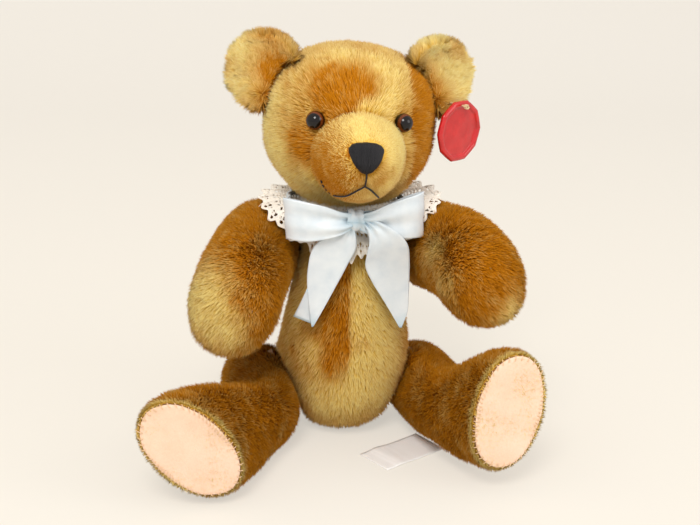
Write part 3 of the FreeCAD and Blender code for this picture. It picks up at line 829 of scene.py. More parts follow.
# %% The mohair finish
def mohair_finish():
    material, tree, shader = finish_called("mohair", Roughness=0.62)
    shader.inputs["Sheen Weight"].default_value = 0.03
    shader.inputs["Sheen Roughness"].default_value = 0.4
    shader.inputs["Sheen Tint"].default_value = (1, 0.8, 0.4, 1)
    shader.inputs["Specular IOR Level"].default_value = 0.12
    shader.inputs["Specular Tint"].default_value = (1, 0.6, 0.15, 1)
    place = add(tree, "ShaderNodeUVMap", uv_map="OFBake").outputs[0]
    parts = add(tree, "ShaderNodeSeparateXYZ", {"Vector": place}).outputs
    dark = ramp(tree, parts["Y"], (0.0, srgb(122, 56, 0)), (0.4, srgb(160, 88, 0)),
                (0.8, srgb(198, 120, 2)), (1.0, srgb(226, 154, 16)))
    pale = ramp(tree, parts["Y"], (0.0, srgb(206, 148, 44)), (0.4, srgb(238, 196, 92)),
                (0.8, srgb(252, 228, 144)), (1.0, srgb(255, 244, 190)))
    tree.links.new(mixed(tree, parts["X"], dark, pale), shader.inputs["Base Color"])
    return material


MOHAIR = mohair_finish()
print("finish", MOHAIR.name)

# %% [markdown]
# A limb's pile is between 5 and 6 mm long, the ears' a little longer, and the muzzle's is clipped
# to 3 mm. Each cover's skin and its locks are joined to one mesh, which stands for the packed
# cover and rides on its body.

# %% Sizes of the coats
BODY_COAT = dict(Length=0.0056, Width=0.00045, Stand=1.1, Swirl=0.2, Tuft=0.25)
COATS = {
    "torso": dict(BODY_COAT, Stand=0.95),
    "head": dict(BODY_COAT),
    "muzzle": dict(Length=0.0030, Width=0.00036, Stand=1.2, Swirl=0.2, Tuft=0.2),
    "left_ear": dict(BODY_COAT, Length=0.0072, Stand=0.9, Swirl=0.4, Tuft=0.5),
    "right_ear": dict(BODY_COAT, Length=0.0074, Stand=0.9, Swirl=0.4, Tuft=0.5),
    "left_arm": dict(BODY_COAT),
    "right_arm": dict(BODY_COAT),
    "left_leg": dict(BODY_COAT, Length=0.0052),
    "right_leg": dict(BODY_COAT, Length=0.0052),
}
# thousands of triangles for each skin and its pile
ROOM = {"torso": 216, "head": 262, "muzzle": 120, "left_ear": 108, "right_ear": 108,
        "left_arm": 196, "right_arm": 196, "left_leg": 206, "right_leg": 206}
PARTS = {
    "torso": "torso", "head": "head", "muzzle": "head", "left_ear": "head", "right_ear": "head",
    "left_arm": "left_arm", "right_arm": "right_arm", "left_leg": "left_leg",
    "right_leg": "right_leg",
}
print("room for", sum(ROOM.values()), "thousand triangles")

# %% A mesh with a map
def with_map(points, faces, uv):
    """A mesh from rows of points, triangles or squares, and a map value for each face corner."""
    mesh = bpy.data.meshes.new("coat")
    sizes = np.array([len(f) for f in faces], np.int32)
    loops = np.concatenate([np.asarray(f, np.int32) for f in faces])
    mesh.vertices.add(len(points))
    mesh.vertices.foreach_set("co", np.asarray(points, np.float32).ravel())
    mesh.loops.add(len(loops))
    mesh.loops.foreach_set("vertex_index", loops)
    mesh.polygons.add(len(sizes))
    starts = np.concatenate([[0], np.cumsum(sizes)[:-1]]).astype(np.int32)
    mesh.polygons.foreach_set("loop_start", starts)
    layer = mesh.uv_layers.new(name="OFBake")
    layer.uv.foreach_set("vector", np.asarray(uv, np.float32).ravel())
    mesh.update(calc_edges=True)
    mesh.validate()
    return mesh


print("made: meshes with a map, from rows of points")

# %% Locks on a skin
# a lock's points are its tip and three at its root. For each corner of its four faces, these are
# the way along the lock and a small shift of tone that sets its sides apart
LOCK_FACES = np.array([(1, 2, 0), (2, 3, 0), (3, 1, 0), (3, 2, 1)])
LOCK_ALONG = np.array([0.98, 0.0, 0.0, 0.0])[LOCK_FACES]
LOCK_SHIFT = np.array([0.0, -0.006, 0.006, 0.002])[LOCK_FACES]


def locks_on(name, skin):
    """The pile of one skin, as dense as its room in triangles lets it be."""
    body = plain_object(name + "_grow", skin)
    area = sum(f.area for f in skin.polygons)
    room = ROOM[name] * 1000 - 2 * len(skin.polygons)
    grows = np.mean([skin.attributes["cover"].data[i].value for i in range(len(skin.vertices))])
    density = room / len(LOCK_FACES) / (area * grows)
    locks = grown(body, PILE, MOHAIR, Density=density, Seed=len(name), **COATS[name])
    bpy.data.objects.remove(body)
    return locks


print("each lock has", len(LOCK_FACES), "triangles")

# %% A coat from a skin and its locks
def coat_of(name, skin):
    """The skin and its pile as one mesh, with the tone and the place along the lock in its map."""
    locks = locks_on(name, skin)
    co = corners(locks).reshape(-1, 4, 3)
    tip, root = co[:, 0], co[:, 1:]
    base = root.mean(1)
    tip[:, 2] = np.maximum(tip[:, 2], 0.0004)
    co[:, 1:, 2] = np.maximum(co[:, 1:, 2], 0.0003)
    dice = np.random.default_rng(11)
    tone = np.clip(tone_at(name, base) + dice.normal(0, 0.1, len(base)), 0.02, 0.98)
    sp, sf = corners(skin), [tuple(f.vertices) for f in skin.polygons]
    faces = len(sp) + 4 * np.arange(len(co))[:, None, None] + LOCK_FACES
    along = np.tile(LOCK_ALONG, (len(co), 1, 1)) + 0.01
    uv = np.stack([tone[:, None, None] + LOCK_SHIFT, along], -1)
    st = np.clip(tone_at(name, sp), 0.05, 0.95)
    wiggle = 0.01 * np.sin(np.arange(len(sp)) * 1.7)
    loops = np.concatenate([np.array(f) for f in sf])
    suv = np.stack([st[loops], 0.3 + wiggle[loops]], -1)
    points = np.concatenate([sp, co.reshape(-1, 3)])
    mesh = with_map(
        points, sf + [tuple(t) for t in faces.reshape(-1, 3)],
        np.concatenate([suv, uv.reshape(-1, 2)]),
    )
    mesh.materials.append(MOHAIR)
    mesh.shade_smooth()
    grown_normal = np.empty(len(locks.vertices) * 3, np.float32)
    locks.attributes["skin_normal"].data.foreach_get("vector", grown_normal)
    own = normals_of(mesh)[len(sp):]
    # most of a lock's shading follows the skin, so that the coat reads as one soft surface
    soft = unit(0.75 * grown_normal.reshape(-1, 3) + 0.25 * own)
    mesh.normals_split_custom_set_from_vertices(np.concatenate([normals_of(skin), soft]))
    return mesh


print("made: coats")

# %% The coats in their places
def settle(obj, body, nodes):
    """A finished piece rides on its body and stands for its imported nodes."""
    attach(obj, body)
    if nodes:
        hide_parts(*nodes)
    return obj


for name, (nodes, voxel, inset, smooth) in SKINS.items():
    piece = plain_object(name + "_plush", coat_of(name, skins[name]))
    hides = [n for n in nodes if n.endswith(("cover", "ear"))]
    settle(piece, PARTS[name], hides)
    print(piece.name, len(piece.data.polygons), "faces")

# %% [markdown]
# The fibre filling of the head, the body and the limbs is a lumpy mass that fits its cover
# loosely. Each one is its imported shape, refilled with even squares, drawn in a little and made
# uneven.

# %% Stuffing
def stuffing_finish():
    material, tree, shader = finish_called("stuffing_fibre", Roughness=0.95)
    place = add(tree, "ShaderNodeTexCoord").outputs["Object"]
    cloud = add(tree, "ShaderNodeTexNoise", {"Vector": place, "Scale": 160.0, "Detail": 5.0})
    colour = ramp(tree, cloud.outputs["Fac"], (0.3, srgb(214, 204, 182)),
                  (0.7, srgb(244, 238, 224)))
    tree.links.new(colour, shader.inputs["Base Color"])
    bumped(tree, shader, cloud.outputs["Fac"], 0.6, 0.001)
    return material


def lumpy(mesh, size, height):
    """Points moved along the normals by a sum of slow waves."""
    p, n = corners(mesh), normals_of(mesh)
    wave = sum(
        np.sin(p @ np.array(way) / size + turn)
        for way, turn in (((1, 0.3, 0.2), 0), ((-0.4, 1, 0.3), 2), ((0.2, -0.5, 1), 4))
    )
    put(mesh, p + n * (wave * height / 3)[:, None])


STUFFING = stuffing_finish()
for part in ("torso", "head", "left_arm", "right_arm", "left_leg", "right_leg"):
    node = part + "_stuffing"
    filling = skin_of(node + "_fill", [node], 0.003, 0.0016, 2)
    lumpy(filling, 0.0035, 0.0012)
    filling.materials.append(STUFFING)
    filling.shade_smooth()
    lump = settle(plain_object(node + "_mass", filling), part, [node])
    print(lump.name, len(filling.polygons), "faces")

# %% [markdown]
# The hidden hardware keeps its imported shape: hardboard discs, steel washers and split pins, card
# insoles and the lock washers of the eyes. Each gets a finish made of noise on its own place.

# %% Finishes of the hidden hardware
def speckled(name, dark, pale, scale, rough, metal=0.0, height=0.3):
    """A finish whose colour and height follow one noise."""
    material, tree, shader = finish_called(name, Roughness=rough, Metallic=metal)
    place = add(tree, "ShaderNodeTexCoord").outputs["Object"]
    cloud = add(tree, "ShaderNodeTexNoise", {"Vector": place, "Scale": scale, "Detail": 4.0})
    colour = ramp(tree, cloud.outputs["Fac"], (0.35, srgb(*dark)), (0.65, srgb(*pale)))
    tree.links.new(colour, shader.inputs["Base Color"])
    bumped(tree, shader, cloud.outputs["Fac"], height, 0.0004)
    return material


HARDWARE = {
    "disc": speckled("hardboard", (104, 72, 44), (150, 112, 74), 900.0, 0.8),
    "washer": speckled("zinc_plated_steel", (150, 152, 156), (186, 188, 192), 500.0, 0.35, 1.0,
                       0.1),
    "pin": speckled("spring_steel", (120, 120, 122), (160, 160, 162), 700.0, 0.3, 1.0, 0.15),
    "insole": speckled("brown_card", (122, 82, 42), (156, 112, 64), 600.0, 0.9),
    "eye_washers": speckled("black_lock_washer", (30, 30, 32), (50, 50, 54), 500.0, 0.45, 0.6, 0.1),
}
for node, obj in frame["nodes"].items():
    for word, material in HARDWARE.items():
        if node == word or node.rstrip("s").endswith(word):
            obj.data.materials.clear()
            obj.data.materials.append(material)
            print(node, "is", material.name)

# %% [markdown]
# Threads are many of the small things here: the black satin stitch of the nose, the mouth, the
# hand stitches round each felt sole, the rims of the lace eyelets and the cord of the seal. One
# tree makes them all. It takes a mesh that has only edges, makes curves of them, and sweeps a
# small circle along.

# %% The thread tree
def thread_tree():
    tree, given, out = new_tree("Threads", Thickness=0.001, Sides=6)
    lines = add(tree, "GeometryNodeMeshToCurve", {"Mesh": given["Geometry"]})
    ring = add(
        tree, "GeometryNodeCurvePrimitiveCircle",
        {"Resolution": given["Sides"], "Radius": maths(tree, "DIVIDE", given["Thickness"], 2.0)},
    )
    swept = add(
        tree, "GeometryNodeCurveToMesh",
        {"Curve": lines.outputs[0], "Profile Curve": ring.outputs[0], "Fill Caps": True},
    )
    smooth = add(tree, "GeometryNodeSetShadeSmooth", {"Geometry": swept.outputs[0]})
    real = add(tree, "GeometryNodeRealizeInstances", {"Geometry": smooth.outputs[0]})
    done = add(
        tree, "GeometryNodeSetMaterial",
        {"Geometry": real.outputs[0], "Material": given["Material"]},
    )
    tree.links.new(done.outputs[0], out["Geometry"])
    return tree

# %% Threads along paths
THREADS = thread_tree()


def threads(name, paths, thickness, material, sides=6):
    """One object of round threads along lists of points. A path back to its start is a ring."""
    points, edges = [], []
    for path in paths:
        ring = len(path) > 3 and (Vector(path[0]) - Vector(path[-1])).length < 1e-7
        path = path[:-1] if ring else path
        first = len(points)
        points += [tuple(p) for p in path]
        edges += [(first + i, first + i + 1) for i in range(len(path) - 1)]
        edges += [(len(points) - 1, first)] if ring else []
    mesh = bpy.data.meshes.new(name)
    mesh.from_pydata(points, edges, [])
    obj = plain_object(name + "_paths", mesh)
    made = grown(obj, THREADS, material, Thickness=thickness, Sides=sides)
    bpy.data.objects.remove(obj)
    return plain_object(name, facing_out(made))


def smooth_path(points, count):
    """count points evenly along a smooth curve through the given ones."""
    p = np.array([tuple(q) for q in points], float)
    gap = np.maximum(np.linalg.norm(np.diff(p, axis=0), axis=1), 1e-9)
    knots = np.concatenate([[0], np.cumsum(gap)])
    slope = np.gradient(p, knots, axis=0)
    out = []
    for t in np.linspace(0, knots[-1], count):
        i = min(np.searchsorted(knots, t, side="right") - 1, len(p) - 2)
        h = knots[i + 1] - knots[i]
        s = (t - knots[i]) / h
        out.append(
            (1 + 2 * s) * (1 - s) ** 2 * p[i] + s * (1 - s) ** 2 * h * slope[i]
            + s * s * (3 - 2 * s) * p[i + 1] + s * s * (s - 1) * h * slope[i + 1]
        )
    return np.array(out)


print("tree", THREADS.name, "with", len(THREADS.nodes), "nodes")

# %% [markdown]
# The eyes are buttons as glossy as glass: a black pupil in a ring of brown under a clear dome. The
# colours lie in rings, so the dome's map holds the way along its turned outline and the finish
# reads that.

# %% A turned shape
def lathed(outline, place, axis):
    """A turned closed shape. outline is (radius, height) in mm, from the back to the front."""
    steps = 48
    z = Vector(axis).normalized()
    x = z.orthogonal().normalized()
    y = z.cross(x)
    rings = outline[1:-1]
    points = [place + z * outline[0][1] / 1000]
    for radius, height in rings:
        for k in range(steps):
            a = 2 * math.pi * k / steps
            out = x * math.cos(a) + y * math.sin(a)
            points.append(place + (out * radius + z * height) / 1000)
    points.append(place + z * outline[-1][1] / 1000)
    faces, uv = [], []
    last = len(rings)

    def at(i, k):
        return (k / steps, i / (last + 1))

    for k in range(steps):
        j = (k + 1) % steps
        faces.append((0, 1 + j, 1 + k))
        uv += [at(0, k), at(1, k + 1), at(1, k)]
        for i in range(last - 1):
            a, b = 1 + i * steps, 1 + (i + 1) * steps
            faces.append((a + k, a + j, b + j, b + k))
            uv += [at(i + 1, k), at(i + 1, k + 1), at(i + 2, k + 1), at(i + 2, k)]
        a = 1 + (last - 1) * steps
        faces.append((a + k, a + j, len(points) - 1))
        uv += [at(last, k), at(last, k + 1), at(last + 1, k)]
    mesh = with_map([tuple(p) for p in points], faces, uv)
    mesh.shade_smooth()
    return mesh


print("made: turned shapes of 48 steps")

# %% The eyes in their places
NECK = mm(0, 0, 142)
HEAD_TURNED = Matrix.Rotation(math.radians(-1), 4, "Z") @ Matrix.Rotation(math.radians(1), 4, "Y")


def on_head(x, y, z):
    """A place given on the straight head, in mm, where it is on the head as it sits."""
    return NECK + HEAD_TURNED @ (mm(x, y, z) - NECK) + mm(-1.5, 0, 0)


def glass_eye_finish():
    material, tree, shader = finish_called("glass_eye", Roughness=0.05)
    shader.inputs["Specular IOR Level"].default_value = 0.35
    parts = add(tree, "ShaderNodeSeparateXYZ",
                {"Vector": add(tree, "ShaderNodeUVMap", uv_map="OFBake").outputs[0]}).outputs
    ray = add(tree, "ShaderNodeTexNoise",
              {"Vector": add(tree, "ShaderNodeTexCoord").outputs["Object"], "Scale": 2600.0})
    iris = ramp(tree, ray.outputs["Fac"], (0.3, srgb(70, 28, 8)), (0.7, srgb(120, 58, 18)))
    ring = ramp(tree, parts["Y"], (0.0, (0, 0, 0)), (0.33, (0, 0, 0)), (0.4, (1, 1, 1)),
                (0.52, (1, 1, 1)), (0.57, (0, 0, 0)), (1.0, (0, 0, 0)))
    tree.links.new(mixed(tree, ring, srgb(14, 9, 8), iris), shader.inputs["Base Color"])
    return material


DOME = [(0, -2.4), (4.4, -2.4), (5.0, -1.2), (5.25, 0.0)]
DOME += [(5.2 * math.cos(a), 5.2 * math.sin(a)) for a in np.radians(np.arange(10, 90, 8))]
DOME += [(0, 5.2)]
GLASS_EYE = glass_eye_finish()
for side, sign in (("left", 1), ("right", -1)):
    place = on_head(sign * 23.8, -40.9, 194.3)
    axis = HEAD_TURNED @ Vector((sign * 0.40, -0.91, 0.12))
    eye = plain_object(side + "_glass_eye", lathed(DOME, place, axis))
    eye.data.materials.append(GLASS_EYE)
    settle(eye, "head", [side + "_eye"])
print("eyes", [round(x, 4) for x in place])

# %% [markdown]
# The nose is a pad worked over with black satin stitch, upright threads laid side by side. Each
# thread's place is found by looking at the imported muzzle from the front, and the thread stands
# off that surface by the height of the pad. The mouth is a single thread: down from the nose,
# then out to both sides, with a few small stitches past its end.

# %% Thread finish
def thread_finish(name, dark, pale, rough=0.5, sheen=0.3):
    """A finish for twisted thread: fine slanting ribs and a little sheen."""
    material, tree, shader = finish_called(name, Roughness=rough)
    shader.inputs["Sheen Weight"].default_value = sheen
    place = add(tree, "ShaderNodeTexCoord").outputs["Object"]
    ribs = add(
        tree, "ShaderNodeTexWave",
        {"Vector": place, "Scale": 900.0, "Distortion": 3.0, "Detail": 1.0},
        bands_direction="DIAGONAL",
    )
    colour = ramp(tree, ribs.outputs["Fac"], (0.1, srgb(*dark)), (0.9, srgb(*pale)))
    tree.links.new(colour, shader.inputs["Base Color"])
    bumped(tree, shader, ribs.outputs["Fac"], 0.5, 0.0002)
    return material


print("made: a finish for thread")

# %% Places on the muzzle
BLACK_THREAD = thread_finish("black_thread", (4, 3, 6), (17, 13, 21), 0.5, 0.0)
muzzle_front = surface("muzzle_cover")


def front_of(tree, x, z):
    """The first place met looking back from in front, and which way it faces."""
    return tree.ray_cast(Vector((x, -0.2, z)), Vector((0, 1, 0)))[:2]


def on_muzzle(x, z, lift=0.0004):
    """A place on the muzzle as seen from the front, given in mm on the straight head."""
    at = on_head(x, -70, z)
    place, facing = front_of(muzzle_front, at.x, at.z)
    return place + facing * lift


print("tip of the muzzle", [round(x, 4) for x in on_muzzle(0, 176)])

# %% The nose
NOSE_HEIGHTS = [174.0, 175.0, 177.5, 180.5, 184.0, 186.3, 188.0, 189.0, 189.5]
NOSE_HALVES = [0.0, 2.8, 5.2, 7.2, 8.6, 8.6, 7.3, 4.8, 0.0]


def nose_spans(count=35):
    """Upright lines across the nose: a place from side to side, its lower end and its upper end."""
    spans = []
    for x in np.linspace(-8.5, 8.5, count):
        inside = [
            z for z in np.linspace(174, 189.4, 150)
            if abs(x) <= np.interp(z, NOSE_HEIGHTS, NOSE_HALVES)
        ]
        if len(inside) > 3:
            spans.append((x, inside[0], inside[-1]))
    return spans


def nose_lift(x, share, top):
    """How far the nose stands off the muzzle, in m: domed, and steep at its edge."""
    dome = max(0.0, 1 - (x / 9.2) ** 2) ** 0.5 * max(0.0, 1 - (2 * share - 1) ** 2) ** 0.35
    return 0.0001 + top * dome


def nose_threads(top=0.0029, steps=14, count=35):
    paths = []
    for x, low, high in nose_spans(count):
        shares = np.linspace(0, 1, steps)
        paths.append([on_muzzle(x, low + (high - low) * s, nose_lift(x, s, top)) for s in shares])
    return paths


def nose_pad_mesh():
    """The padding under the stitches, one row of squares between every two threads."""
    rows = np.array([[tuple(p) for p in path] for path in nose_threads(0.0026, 14, 25)])
    back = rows + np.array((0, 0.0035, 0))
    count, steps = rows.shape[:2]
    points = np.concatenate([rows.reshape(-1, 3), back.reshape(-1, 3)])
    faces, off = [], count * steps
    for i in range(count - 1):
        for j in range(steps - 1):
            a = i * steps + j
            faces.append((a, a + 1, a + steps + 1, a + steps))
            faces.append((off + a, off + a + steps, off + a + steps + 1, off + a + 1))
    rim = [i * steps for i in range(count)] + [(count - 1) * steps + j for j in range(1, steps)]
    rim += [i * steps + steps - 1 for i in range(count - 2, -1, -1)] + list(range(steps - 2, 0, -1))
    for a, b in zip(rim, rim[1:] + rim[:1]):
        faces.append((a, b, off + b, off + a))
    return facing_out(mesh_from("nose_pad", points, faces))


pad = plain_object("nose_pad", nose_pad_mesh())
pad.data.materials.append(BLACK_THREAD)
settle(pad, "head", [])
nose = threads("nose_satin_stitch", nose_threads(), 0.00062, BLACK_THREAD)
settle(nose, "head", ["nose_stitching"])
print("nose of", len(nose_spans()), "threads")

# %% The mouth
MOUTH = [
    [(0, 175.5), (0.1, 171), (0, 167.3)],
    [(0, 167.6), (-3.6, 164.6), (-8.0, 160.0), (-12.4, 156.8)],
    [(0, 167.6), (3.2, 165.4), (6.4, 162.2), (9.2, 159.0)],
    [(-13.7, 157.1), (-14.8, 157.8)],
    [(-15.8, 158.7), (-16.7, 159.8)],
    [(-17.5, 160.9), (-18.3, 162.2)],
    [(-18.9, 163.5), (-19.5, 164.9)],
]
mouth_paths = []
for line in MOUTH:
    dense = smooth_path([(x, 0, z) for x, z in line], 5 * len(line))
    mouth_paths.append([on_muzzle(x, z, 0.001) for x, _, z in dense])
mouth = threads("mouth_thread", mouth_paths, 0.00095, BLACK_THREAD, sides=8)
settle(mouth, "head", ["mouth_stitching"])
print("nose and mouth threads", len(nose.data.polygons), len(mouth.data.polygons))

# %% [markdown]
# Soles and paw pads are wool felt, cut out and sewn in by hand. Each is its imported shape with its
# edges softened by a fine remesh, a slow unevenness, and a felt finish of matted fibres. Slanting
# stitches of pale thread hold the edge.

# %% Felt
def felt_finish():
    material, tree, shader = finish_called("peach_felt", Roughness=0.92)
    shader.inputs["Sheen Weight"].default_value = 0.4
    shader.inputs["Sheen Roughness"].default_value = 0.5
    place = add(tree, "ShaderNodeTexCoord").outputs["Object"]
    fibre = add(
        tree, "ShaderNodeTexNoise",
        {"Vector": place, "Scale": 900.0, "Detail": 6.0, "Roughness": 0.7, "Distortion": 1.2},
    )
    patch = add(tree, "ShaderNodeTexNoise", {"Vector": place, "Scale": 60.0, "Detail": 3.0})
    shade = maths(tree, "ADD", maths(tree, "MULTIPLY", fibre.outputs["Fac"], 0.6),
                  maths(tree, "MULTIPLY", patch.outputs["Fac"], 0.4))
    colour = ramp(tree, shade, (0.32, srgb(226, 188, 160)), (0.5, srgb(234, 200, 174)),
                  (0.68, srgb(240, 208, 186)))
    tree.links.new(colour, shader.inputs["Base Color"])
    bumped(tree, shader, shade, 0.5, 0.0006)
    return material


FELT = felt_finish()
PALE_THREAD = thread_finish("pale_sewing_thread", (214, 170, 126), (238, 204, 164))
print("finishes", FELT.name, PALE_THREAD.name)

# %% Hand stitches
def flat_frame(points):
    """The middle of a flat piece and its three directions, the thinnest last."""
    centre = points.mean(0)
    _, _, ways = np.linalg.svd(points - centre, full_matrices=False)
    return centre, ways


def edge_stitches(points, outward, count, length=0.0024):
    """Short slanting stitches round the edge of a flat felt piece."""
    centre, ways = flat_frame(points)
    if ways[2] @ outward < 0:
        ways[2] = -ways[2]
    flat = (points - centre) @ ways.T
    turn = np.arctan2(flat[:, 1], flat[:, 0])
    paths = []
    for k in range(count):
        a = 2 * math.pi * k / count - math.pi
        near = np.abs((turn - a + math.pi) % (2 * math.pi) - math.pi) < 0.09
        ring = flat[near]
        edge = ring[np.argmax(np.hypot(ring[:, 0], ring[:, 1]))]
        out = np.array([math.cos(a), math.sin(a)])
        reach = np.hypot(edge[0], edge[1])
        top = ring[:, 2].max()
        slant = np.array([-out[1], out[0]]) * 0.0006
        inner = np.append(out * (reach - length), top - 0.0001)
        middle_ = np.append(out * (reach - length / 2) + slant / 2, top + 0.0003)
        outer = np.append(out * (reach + 0.0003) + slant, top - 0.0012)
        paths.append(smooth_path([centre + q @ ways for q in (inner, middle_, outer)], 5))
    return paths


print("made: stitches round a flat piece")

# %% Soles and paw pads
for side in ("left", "right"):
    for part, limb, count in (("paw_pad", "arm", 26), ("foot_pad", "leg", 52)):
        node = side + "_" + part
        felt = skin_of(node + "_felt", [node], 0.0006, 0.0001, 4)
        lumpy(felt, 0.004, 0.0005)
        felt.materials.append(FELT)
        felt.shade_smooth()
        body = side + "_" + limb
        outward = middle(node) - middle(body + "_cover")
        seam = threads(node + "_stitches", edge_stitches(corners(felt), outward, count), 0.0005,
                       PALE_THREAD)
        settle(seam, body, [])
        piece = settle(plain_object(node + "_felt", felt), body, [node])
        print(piece.name, len(felt.polygons), "faces", len(seam.data.polygons), "in stitches")

# %% [markdown]
# The lace collar is a strip of cotton lace gathered round the neck. It is a fine grid from the
# neck out to a scalloped edge, raised in ruffles, from which the squares that fall in a hole of
# the pattern are taken out: a net near the neck, a row of ladder holes, and a fan of eyelets in
# each scallop. What is left is given its thickness, and thread rims go round the eyelets and
# along the edge.

# %% Sizes of the collar
SCALLOPS, ACROSS, ROWS = 46, 14, 42
# turn from the front in degrees (the bear's left is plus), reach and height of the edge in mm
COLLAR_EDGE = [
    (-180, 44.5, 131), (-150, 45.5, 135.5), (-115, 50.5, 139.5), (-90, 51.5, 139.5), (-70, 53, 137),
    (-52, 47.5, 125.5), (-38, 43.5, 119.5), (-20, 41.5, 117), (0, 40.5, 115), (20, 41.5, 117),
    (36, 44, 120.5), (46, 49.5, 131), (56, 54, 140), (72, 55, 144), (90, 53.5, 144.5),
    (115, 51, 142.5), (150, 45.5, 136), (180, 44.5, 131),
]
NECK_RADIUS, NECK_HEIGHT = 24.5, 138.0
print("collar", SCALLOPS, "scallops,", ROWS, "rows")

# %% Woven cloth
def cloth_finish(name, dark, pale, scale, rough=0.85, sheen=0.25, height=0.4):
    """A woven finish: two crossed sets of fine ribs, with a slow unevenness in colour."""
    material, tree, shader = finish_called(name, Roughness=rough)
    shader.inputs["Sheen Weight"].default_value = sheen
    place = add(tree, "ShaderNodeTexCoord").outputs["Object"]
    ribs = [
        add(tree, "ShaderNodeTexWave", {"Vector": place, "Scale": scale, "Distortion": 1.5},
            bands_direction=way).outputs["Fac"]
        for way in ("X", "Z")
    ]
    weave = maths(tree, "MULTIPLY", maths(tree, "ADD", *ribs), 0.5)
    patch = add(tree, "ShaderNodeTexNoise", {"Vector": place, "Scale": 90.0, "Detail": 3.0})
    shade = maths(tree, "ADD", maths(tree, "MULTIPLY", weave, 0.4),
                  maths(tree, "MULTIPLY", patch.outputs["Fac"], 0.6))
    colour = ramp(tree, shade, (0.25, srgb(*dark)), (0.7, srgb(*pale)))
    tree.links.new(colour, shader.inputs["Base Color"])
    bumped(tree, shader, weave, height, 0.0002)
    return material


print("made: a finish for woven cloth")

# %% Where the collar lies
def collar_point(turn, way):
    """A place on the collar, turn degrees from the front. way is 0 at the neck, 1 at the edge."""
    side = (turn + 180) % 360 - 180
    turns, reaches, heights = zip(*COLLAR_EDGE)
    reach = np.interp(side, turns, reaches)
    low = np.interp(side, turns, heights)
    a = math.radians(turn)
    wave = math.sin(a * 23 + 0.8 * math.sin(3 * a)) + 0.4 * math.sin(a * 41 + 1)
    radius = NECK_RADIUS + (reach - NECK_RADIUS) * way
    height = NECK_HEIGHT + (low - NECK_HEIGHT) * way**1.6 + 2.2 * math.sin(math.pi * way)
    height += (0.3 + 1.1 * way) * (wave + 0.4)
    height += 5.0 * max(0.0, 1 - way / 0.14) ** 1.5
    radius += 0.8 * way * math.cos(a * 23)
    return mm(radius * math.sin(a), -radius * math.cos(a), height)


print("collar's edge in front", [round(x, 4) for x in collar_point(0, 1)])

# %% The pattern of holes
def lace_hole(u, v):
    """True in a hole. u runs across one scallop and v from the neck to the edge, both 0 to 1."""
    x, y = (u - 0.5) * 6.0, (1 - v) * 24.0
    if y < 6.2:
        fan = [(0, 2.0, 0.8), (-1.7, 3.0, 0.62), (1.7, 3.0, 0.62), (0, 4.3, 0.7)]
        return any((x - a) ** 2 + (y - b) ** 2 < r * r for a, b, r in fan)
    if y < 8.6:
        return abs(abs(x) - 1.5) < 0.75 and abs(y - 7.4) < 0.75
    row = int((y - 8.6) / 1.7)
    step = 1.5
    shift = 0.75 * (row % 2)
    near = (x + shift + step / 2) % step - step / 2
    return math.hypot(near, (y - 8.6) % 1.7 - 0.85) < 0.5 and v > 0.04


def lace_sheet():
    columns = SCALLOPS * ACROSS
    points, faces = [], []
    for c in range(columns):
        u = (c % ACROSS) / ACROSS
        edge = 1 - 0.075 * abs(math.cos(math.pi * u)) ** 1.5
        for r in range(ROWS + 1):
            points.append(collar_point(360 * c / columns, edge * r / ROWS))
    for c in range(columns):
        d = (c + 1) % columns
        u = (c % ACROSS + 0.5) / ACROSS
        for r in range(ROWS):
            if not lace_hole(u, (r + 0.5) / ROWS):
                a, b = c * (ROWS + 1) + r, d * (ROWS + 1) + r
                faces.append((a, a + 1, b + 1, b))
    return facing_out(mesh_from("lace", points, faces), loose=True)


print("scallop of", ACROSS * ROWS, "squares")

# %% The lace and its rims
LACE = cloth_finish("cotton_lace", (232, 222, 206), (252, 247, 238), 700.0)
lace = plain_object("lace_collar_cloth", lace_sheet())
thick = lace.modifiers.new("thickness", "SOLIDIFY")
thick.thickness = 0.0004
thick.offset = 0
lace.data = evaluated(lace)
lace.data.materials.append(LACE)
rims = []
for s in range(SCALLOPS):
    for x, y, r in ((0, 2.0, 0.95), (-1.7, 3.0, 0.75), (1.7, 3.0, 0.75)):
        ring = []
        for k in range(9):
            a = 2 * math.pi * k / 8
            u, v = 0.5 + (x + r * math.cos(a)) / 6, 1 - (y + r * math.sin(a)) / 24
            ring.append(collar_point(360 * (s + u) / SCALLOPS, v) + mm(0, 0, 0.15))
        ring[-1] = ring[0]
        rims.append(ring)
edge = []
for k in range(SCALLOPS * 12 + 1):
    u = (k % 12) / 12
    reach = 1 - 0.075 * abs(math.cos(math.pi * u)) ** 1.5
    edge.append(collar_point(360 * (k % (SCALLOPS * 12)) / (SCALLOPS * 12), reach))
rims.append(edge)
rims = threads("lace_rims", rims, 0.0006, LACE, sides=5)
settle(rims, "torso", [])
settle(lace, "torso", ["lace_collar"])
